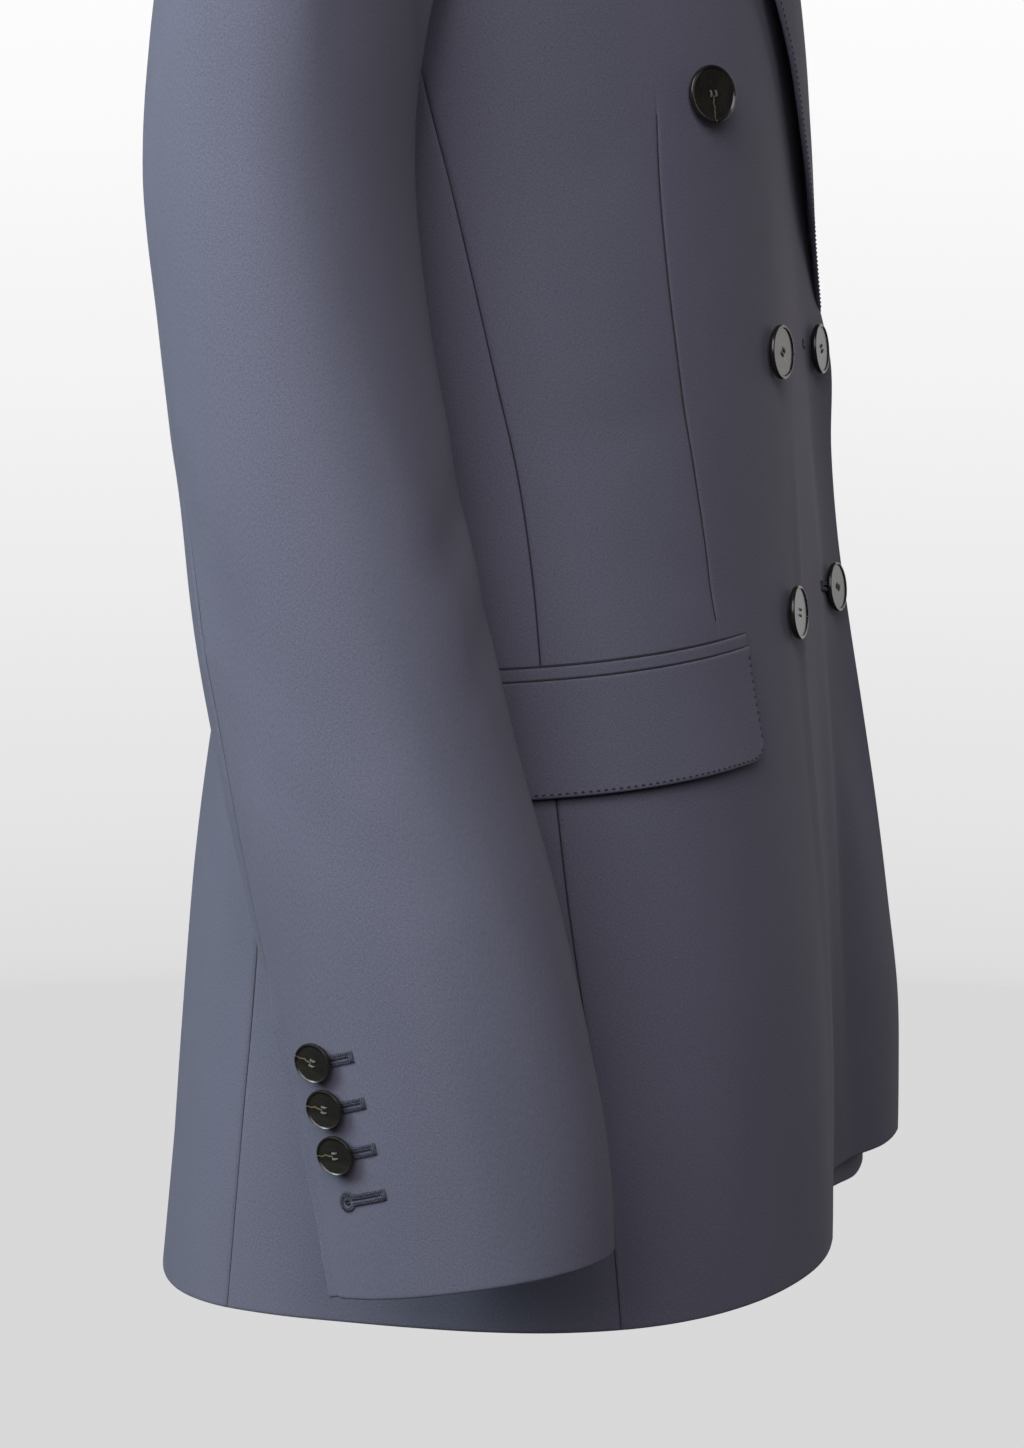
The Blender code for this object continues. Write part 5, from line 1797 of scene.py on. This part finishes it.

# %% [markdown]
# ## Seam lines
# Where two pieces are sewn and pressed, the cloth dips into a narrow ditch
# that hardly any light reaches. The borders already roll down to it, and a
# cord of painted shade, hardly thicker than the sewing thread, lies along it
# at the surface. The darts and the edges of the jets have one too.

# %% Seam lines
# painted shade: dark cords laid along the seams, darts and jets where the cloth is in shadow
SHADE_CORD_R = 0.00042             # radius of the cord of shade
JET_SHADE_CORD_R = 0.00060
BESIDE_JET = 0.00025
DART_RAISE = 0.00020


def seam_shade_cords(side, mirror):
    lines = [(node, at) for node, at in SEAMS if node.endswith(side)]
    lines += [(node, (ALL, border)) for node in (f"side_{side}", f"sleeve_under_{side}")
              for border in (0, -1)]
    if not mirror:
        lines.append(("back_right", (ALL, 0)))
    sewing = Sewing()
    for node, at in lines:
        outer, normal = EDGES[node][:2]
        path = outer[at]
        pocket = node.startswith("pocket")
        if pocket:
            # It lies just outside the strip's edge.
            inner = tuple({0: 1, -1: -2}.get(place, place) if isinstance(place, int) else place
                          for place in at)
            path = path + unit(path - outer[inner]) * BESIDE_JET + normal[inner] * BESIDE_JET
        if node.startswith("front"):
            path = path + normal[at] * DART_RAISE
        # a cord of painted shade along this seam
        sewing.cord(path, JET_SHADE_CORD_R if pocket else SHADE_CORD_R, normal[at])
    sewing.piece(f"seam_lines_{side}", shade, mirror)
    print(f"seam lines {side}: {len(lines)}")


both_sides(seam_shade_cords)

# %% [markdown]
# ## Buttonholes
# A worked buttonhole is a slit with a round eye for the shank. Its raw edge
# is covered by purl stitches over a cord, each with its knot at the slit, and
# a bar of thread closes the far end. On the cuffs there are four of them for
# three buttons.

# %% Worked buttonholes
HOLE_EYE = 0.00250          # radius of the eye
HOLE_GAP = 0.00080          # half the strip of cloth between the two rows
HOLE_STITCH = 0.00160       # length of a purl stitch
HOLE_PITCH = 0.00085
HOLE_THREAD = 0.00026
HOLE_CORD = 0.00042
# the ring in the eye is painted shade
HOLE_SHADE = 0.3            # radius of the dark ring in the eye, as a share of the eye's
HOLE_SLOPE = math.tan(math.radians(8))      # they rise a little to the front
HOLE_SHIFT = 0.0024         # the eye starts this far behind the button's middle


def patch(point_at, first, second):
    """A form as a flat patch round one place: metres forward, metres up and a lift."""
    here = xyz(point_at(first, second, 0.0))
    across = np.linalg.norm(xyz(point_at(first + SMALL_LINE, second, 0.0)) - here)
    up = np.linalg.norm(xyz(point_at(first, second + SMALL_HEIGHT, 0.0)) - here)

    def at(u, v, lift=0.0):
        u -= HOLE_SHIFT
        return xyz(point_at(first - u * SMALL_LINE / across,
                            second + (v + u * HOLE_SLOPE) * SMALL_HEIGHT / up, lift))

    return at


def keyhole(length, spacing):
    """Points round the slit from its closed end, and which way the cloth lies there."""
    joins = math.asin(HOLE_GAP / HOLE_EYE)
    straight = length - HOLE_EYE - HOLE_EYE * math.cos(joins)
    arc = HOLE_EYE * (2 * math.pi - 2 * joins)
    total = 2 * straight + arc
    made = []
    for i in range(int(total / spacing) + 1):
        s = min(i * spacing, total)
        if s < straight:
            made.append((length - s, HOLE_GAP, 0.0, 1.0))
        elif s < straight + arc:
            turn = joins + (s - straight) / HOLE_EYE
            made.append((HOLE_EYE + HOLE_EYE * math.cos(turn), HOLE_EYE * math.sin(turn),
                         math.cos(turn), math.sin(turn)))
        else:
            made.append((length - (total - s), -HOLE_GAP, 0.0, -1.0))
    return made


def buttonhole(sewing, slit_shade, at, length):
    """Works one buttonhole on its patch, from the eye forward."""
    up = unit(at(0.0, 0.0, 0.001) - at(0.0, 0.0, 0.0))
    edge = keyhole(length, HOLE_PITCH)
    middle = HOLE_STITCH / 2
    sewing.cord([at(u + du * middle, v + dv * middle, HOLE_CORD * 0.4)
                 for u, v, du, dv in edge], HOLE_CORD, up)
    for u, v, du, dv in edge:
        inner = at(u, v, HOLE_CORD * 0.8)
        outer = at(u + du * HOLE_STITCH, v + dv * HOLE_STITCH, 0.0)
        sewing.stitch(inner, outer, up, HOLE_THREAD, HOLE_CORD * 1.3)
        along = np.array((-dv, du)) * HOLE_THREAD * 1.3
        sewing.stitch(at(u - along[0], v - along[1], HOLE_CORD * 1.1),
                      at(u + along[0], v + along[1], HOLE_CORD * 1.1), up, HOLE_THREAD * 1.2,
                      HOLE_THREAD * 0.5, steps=4)
    bar = HOLE_GAP + HOLE_STITCH
    for k in range(3):
        u = length + HOLE_THREAD * (1.6 * k - 0.5)
        sewing.stitch(at(u, -bar, 0.0), at(u, bar, 0.0), up, HOLE_THREAD * 1.1, HOLE_CORD * 1.7,
                      steps=7)
    # the slit and the eye: dark cords of painted shade where the cut is in shadow
    slit_shade.cord([at(u, 0.0, 0.0) for u in np.linspace(HOLE_EYE, length, 12)], HOLE_THREAD * 0.6, up)
    turn = np.linspace(0, 2 * math.pi, 13)
    ring = HOLE_EYE * HOLE_SHADE
    slit_shade.cord([at(HOLE_EYE + ring * math.cos(a), ring * math.sin(a), 0.0) for a in turn], ring, up)


CUFF_HOLE_LENGTH = 0.0176
CUFF_HOLE_COUNT = 4
CUFF_HOLE_STEP = CUFF_BUTTON_Z[0] - CUFF_BUTTON_Z[1]
COAT_HOLE_LENGTH = 0.0265


def work_holes(names, places, length, mirror=False):
    """Works a row of buttonholes; places are (form, place along it, height)."""
    sewing = Sewing()
    # painted shade for the slits and the eyes
    slit_shade = Sewing()
    for form, along, z in places:
        buttonhole(sewing, slit_shade, patch(form, along, z), length)
    sewing.piece(names[0], hole_thread, mirror)
    slit_shade.piece(names[1], shade, mirror)
    print(f"{names[0]}: {len(sewing.points)} threads")


def creased_sleeve(side, line, z):
    """The outside of a sleeve near one place, with the crease that runs there."""
    here = np.array([tuple(sleeve_point(line, z, 0.0))])
    extra = float(sleeve_creases(here, side)[0])

    def point_at(line, z, lift):
        return sleeve_point(line, z, lift + extra + vent_lift(line, z))
    return point_at


def vent_lift(line, z):
    """How far the upper sleeve stands off near the vent's edge."""
    edge = (sleeve_point(line, z, 0.0) - sleeve_point(hind_seam("line", z), z, 0.0)).length
    in_vent = clipped((VENT_Z - z) / VENT_RUN_IN)
    return VENT_STAND * in_vent * math.exp(-(edge / VENT_WIDTH) ** 2)


def cuff_holes(side, mirror):
    line = CUFF_BUTTON_LINE
    heights = [CUFF_BUTTON_Z[0] - number * CUFF_HOLE_STEP for number in range(CUFF_HOLE_COUNT)]
    places = [(creased_sleeve(side, line, z), line, z) for z in heights]
    work_holes((f"cuff_holes_{side}", f"cuff_slit_shade_{side}"), places, CUFF_HOLE_LENGTH, mirror)


both_sides(cuff_holes)


def creased_front(angle, z):
    """The outside of the right front near one place, with the crease that runs there."""
    here = np.array([tuple(body_point(angle, z - CHEST_Z))])
    extra = float(body_creases(here, "right")[0])

    def point_at(angle, z, lift):
        return body_point(angle, z - CHEST_Z, lift + extra, over=True)
    return point_at


front_places = []
for z, from_centre in BUTTON_ROWS[1:]:
    angle = angle_at_x(from_centre, z - CHEST_Z)
    front_places.append((creased_front(angle, z), angle, z))
work_holes(("front_holes", "front_slits"), front_places, COAT_HOLE_LENGTH)

# %% [markdown]
# ## Buttons
# The buttons are turned from dark horn: a flat face a little below a thin
# polished rim, four holes close together and a rounded back. The rim ends in
# a small curl, like the start of a spiral. A turned profile gives the rim and
# the back; the face is a flat sheet with real holes, filled in between its
# outline and theirs. Thread crosses the holes in two bars, and more thread is
# wound round below to hold the button off the cloth.

# %% Shape of a button
RIM_STEPS = 64
HOLE_STEPS = 12
# Radius and place of the four holes, as shares of the button's radius.
COAT_HOLES = (0.058, 0.110)
CUFF_HOLES = (0.082, 0.140)
# Section outside the face, as shares of radius and height; the first ring is
# the face's border, the second the rim's inner shoulder, which the curl moves.
RIM_SECTION = ((0.50, 0.800), (0.880, 0.800), (0.910, 0.930), (0.935, 1.000), (0.962, 0.985),
               (0.985, 0.900), (1.000, 0.700), (0.995, 0.480), (0.960, 0.250), (0.880, 0.080),
               (0.700, 0.000), (0.400, 0.000))
CURL_DEPTH = 0.035
CURL_TURN = math.radians(18)
SHARP_TURN = math.radians(38)   # edges bent more than this are shaded as sharp
WELD = 1e-6
STRAND_SHARE = 0.36         # a strand of its thread, as a share of a hole
SHANK_TURNS = 5


def curl(turn):
    """How far the rim's inner shoulder has wound in, at each turn from the curl."""
    share = (turn / (2 * math.pi)) % 1.0
    last = CURL_TURN / (2 * math.pi)
    return share * (1.0 if share < 1 - last else (1 - share) / last)


def sheet_with_holes(rings, level):
    """Faces of a flat sheet between the first ring and the holes in it."""
    made = bmesh.new()
    edges = []
    for ring in rings:
        corners = [made.verts.new((x, y, level)) for x, y in ring]
        edges += [made.edges.new(pair) for pair in zip(corners, corners[1:] + corners[:1])]
    bmesh.ops.triangle_fill(made, edges=edges, use_beauty=True, use_dissolve=False)
    made.verts.index_update()
    points = [tuple(corner.co) for corner in made.verts]
    faces = [tuple(corner.index for corner in face.verts) for face in made.faces]
    made.free()
    return points, faces


def button_shape(name, radius, height, hole_share, place_share):
    """The mesh of a button, with its back on the plane of the shank's top."""
    turns = [2 * math.pi * i / RIM_STEPS for i in range(RIM_STEPS)]
    points = []
    faces = ring_faces(0, len(RIM_SECTION), RIM_STEPS, inward=True)
    for k, (r, h) in enumerate(RIM_SECTION):
        for turn in turns:
            inward = CURL_DEPTH * curl(turn) if k in (1, 2) else 0.0
            reach = radius * (r - inward)
            points.append((reach * math.cos(turn), reach * math.sin(turn), height * h))
    spots = [(sx * place_share * radius, sy * place_share * radius)
             for sx in (-1, 1) for sy in (-1, 1)]
    hole_turns = [2 * math.pi * i / HOLE_STEPS for i in range(HOLE_STEPS)]
    holes = [[(x + hole_share * radius * math.cos(a), y + hole_share * radius * math.sin(a))
              for a in hole_turns] for x, y in spots]
    for ring_index, level, upward in ((0, height * RIM_SECTION[0][1], True),
                                      (len(RIM_SECTION) - 1, 0.0, False)):
        ring = [points[ring_index * RIM_STEPS + i][:2] for i in range(RIM_STEPS)]
        sheet, filled = sheet_with_holes([ring] + holes, level)
        start = len(points)
        points += sheet
        for face in filled:
            a, b, c = (sheet[i] for i in face)
            turning = (b[0] - a[0]) * (c[1] - a[1]) - (b[1] - a[1]) * (c[0] - a[0])
            face = face if (turning > 0) == upward else face[::-1]
            faces.append(tuple(start + i for i in face))
    # Walls of the four holes.
    for ring in holes:
        faces += ring_faces(len(points), 2, HOLE_STEPS)
        points += [(x, y, height * RIM_SECTION[0][1]) for x, y in ring]
        points += [(x, y, 0.0) for x, y in ring]
    mesh = bpy.data.meshes.new(name)
    mesh.from_pydata(points, [], faces)
    joined = bmesh.new()
    joined.from_mesh(mesh)
    bmesh.ops.remove_doubles(joined, verts=joined.verts, dist=WELD)
    joined.to_mesh(mesh)
    joined.free()
    mesh.shade_smooth()
    mesh.set_sharp_from_angle(angle=SHARP_TURN)
    mesh.materials.append(horn)
    return mesh


def button_thread_of(radius, height, hole_share, place_share):
    """The thread of a button: two bars over its holes and the wound shank below."""
    sewing = Sewing()
    up = (0.0, 0.0, 1.0)
    strand = hole_share * radius * STRAND_SHARE
    face = height * RIM_SECTION[0][1]
    reach = place_share * radius
    for y in (-reach, reach):
        for k, aside in enumerate((-0.8, 0.0, 0.8)):
            low = height * 0.2
            path = [(-reach, y + aside * strand, low), (-reach, y + aside * strand, face * 0.9),
                    (-reach * 0.8, y + aside * strand, face + strand * 0.9),
                    (0.0, y + aside * strand * 1.3, face + strand * (1.4 + 0.3 * (k == 1))),
                    (reach * 0.8, y + aside * strand, face + strand * 0.9),
                    (reach, y + aside * strand, face * 0.9), (reach, y + aside * strand, low)]
            knots = np.arange(len(path), dtype=float)
            sewing.cord(smooth_at(np.array(path), knots, np.linspace(0, len(path) - 1, 19)),
                        strand, (0.0, 1.0, 0.0), taper=1.0)
    wound = []
    shank_r = radius * SHANK_SHARE * 0.8
    bottom = -SHANK_H - SEAM_GAP - 0.0004
    for i in range(SHANK_TURNS * 16 + 1):
        turn = 2 * math.pi * i / 16
        wound.append((shank_r * math.cos(turn), shank_r * math.sin(turn),
                      bottom + (0.0003 - bottom) * i / (SHANK_TURNS * 16)))
    sewing.cord(wound, (0.0003 - bottom) / SHANK_TURNS * 0.62, up, taper=1.0)
    return sewing


print("curl of the rim:", CURL_DEPTH)

# %% Place the buttons
LEAN_TO = Vector((-0.95, -0.31, 0.0))       # hanging on their thread they tip this way
COAT_LEAN = {(1, "right"): 13, (2, "right"): 8, (3, "right"): 3, (2, "left"): 15, (3, "left"): 15}
CUFF_LEAN = 11
# How far each is turned on its thread, in degrees, so that no two show the pale line in the same
# place.
COAT_ROLL = {"first": 240, "row": 35, "right": 0, "left": 80}
CUFF_ROLL = (150, 12)
CUFF_FORWARD = 0.13         # the cuff buttons' place before their solids, in lines
CUFF_UP = 0.0015            # and above them, in metres


def button_frame(point, normal, roll, lean, radius):
    """A button's place and turn: its face looks along the normal, tipped by its lean."""
    normal = Vector(normal).normalized()
    aside = normal.cross(LEAN_TO).normalized()
    rise = SHANK_H + SEAM_GAP + 0.25 * radius * math.sin(math.radians(lean))
    tipped = Matrix.Rotation(math.radians(lean), 3, aside) @ normal
    turned = tipped.to_track_quat("Z", "Y").to_matrix().to_4x4()
    return Matrix.Translation(Vector(point) + normal * rise) @ turned \
        @ Matrix.Rotation(roll, 4, "Z")


def put_button(node, parts, point, normal, roll, lean, radius):
    disc = in_scene("horn_" + node, parts[0])
    thread = in_scene("thread_" + node, parts[1])
    for piece, slot in ((disc, "button"), (thread, "suiting")):
        piece.matrix_world = button_frame(point, normal, roll, lean, radius)
        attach(piece, "root")
    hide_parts(node)


def button_parts(name, radius, height, holes):
    """The meshes of one kind of button and of its thread."""
    piece = button_thread_of(radius, height, *holes).piece(name + "_thread", button_thread)
    thread = piece.data
    bpy.data.objects.remove(piece)
    return button_shape(name, radius, height, *holes), thread


coat_button = button_parts("coat_button", BUTTON_R, BUTTON_H, COAT_HOLES)
cuff_button = button_parts("cuff_button", CUFF_BUTTON_R, CUFF_BUTTON_H, CUFF_HOLES)
print("a coat button has", len(coat_button[0].polygons), "faces")

for row, (z, from_centre) in enumerate(BUTTON_ROWS, start=1):
    for side, x in (("right", -from_centre), ("left", from_centre)):
        point, normal = front_button_place(x, z)
        point += normal * edge_flare(x, z)
        roll = COAT_ROLL["first"] + COAT_ROLL["row"] * row + COAT_ROLL[side]
        put_button(f"button_{row}_{side}", coat_button, point, normal, math.radians(roll),
                   COAT_LEAN.get((row, side), 0), BUTTON_R)

for side, sign in (("right", 1), ("left", -1)):
    for number, z in enumerate(CUFF_BUTTON_Z, start=1):
        point, normal = cuff_button_place(z)
        place = creased_sleeve(side, CUFF_BUTTON_LINE, z)
        point = place(CUFF_BUTTON_LINE - CUFF_FORWARD, z + CUFF_UP, 0.0)
        put_button(f"cuff_button_{side}_{number}", cuff_button, on_side(point, sign),
                   on_side(normal, sign), math.radians(CUFF_ROLL[0] + CUFF_ROLL[1] * number),
                   CUFF_LEAN if side == "right" else 0, CUFF_BUTTON_R)
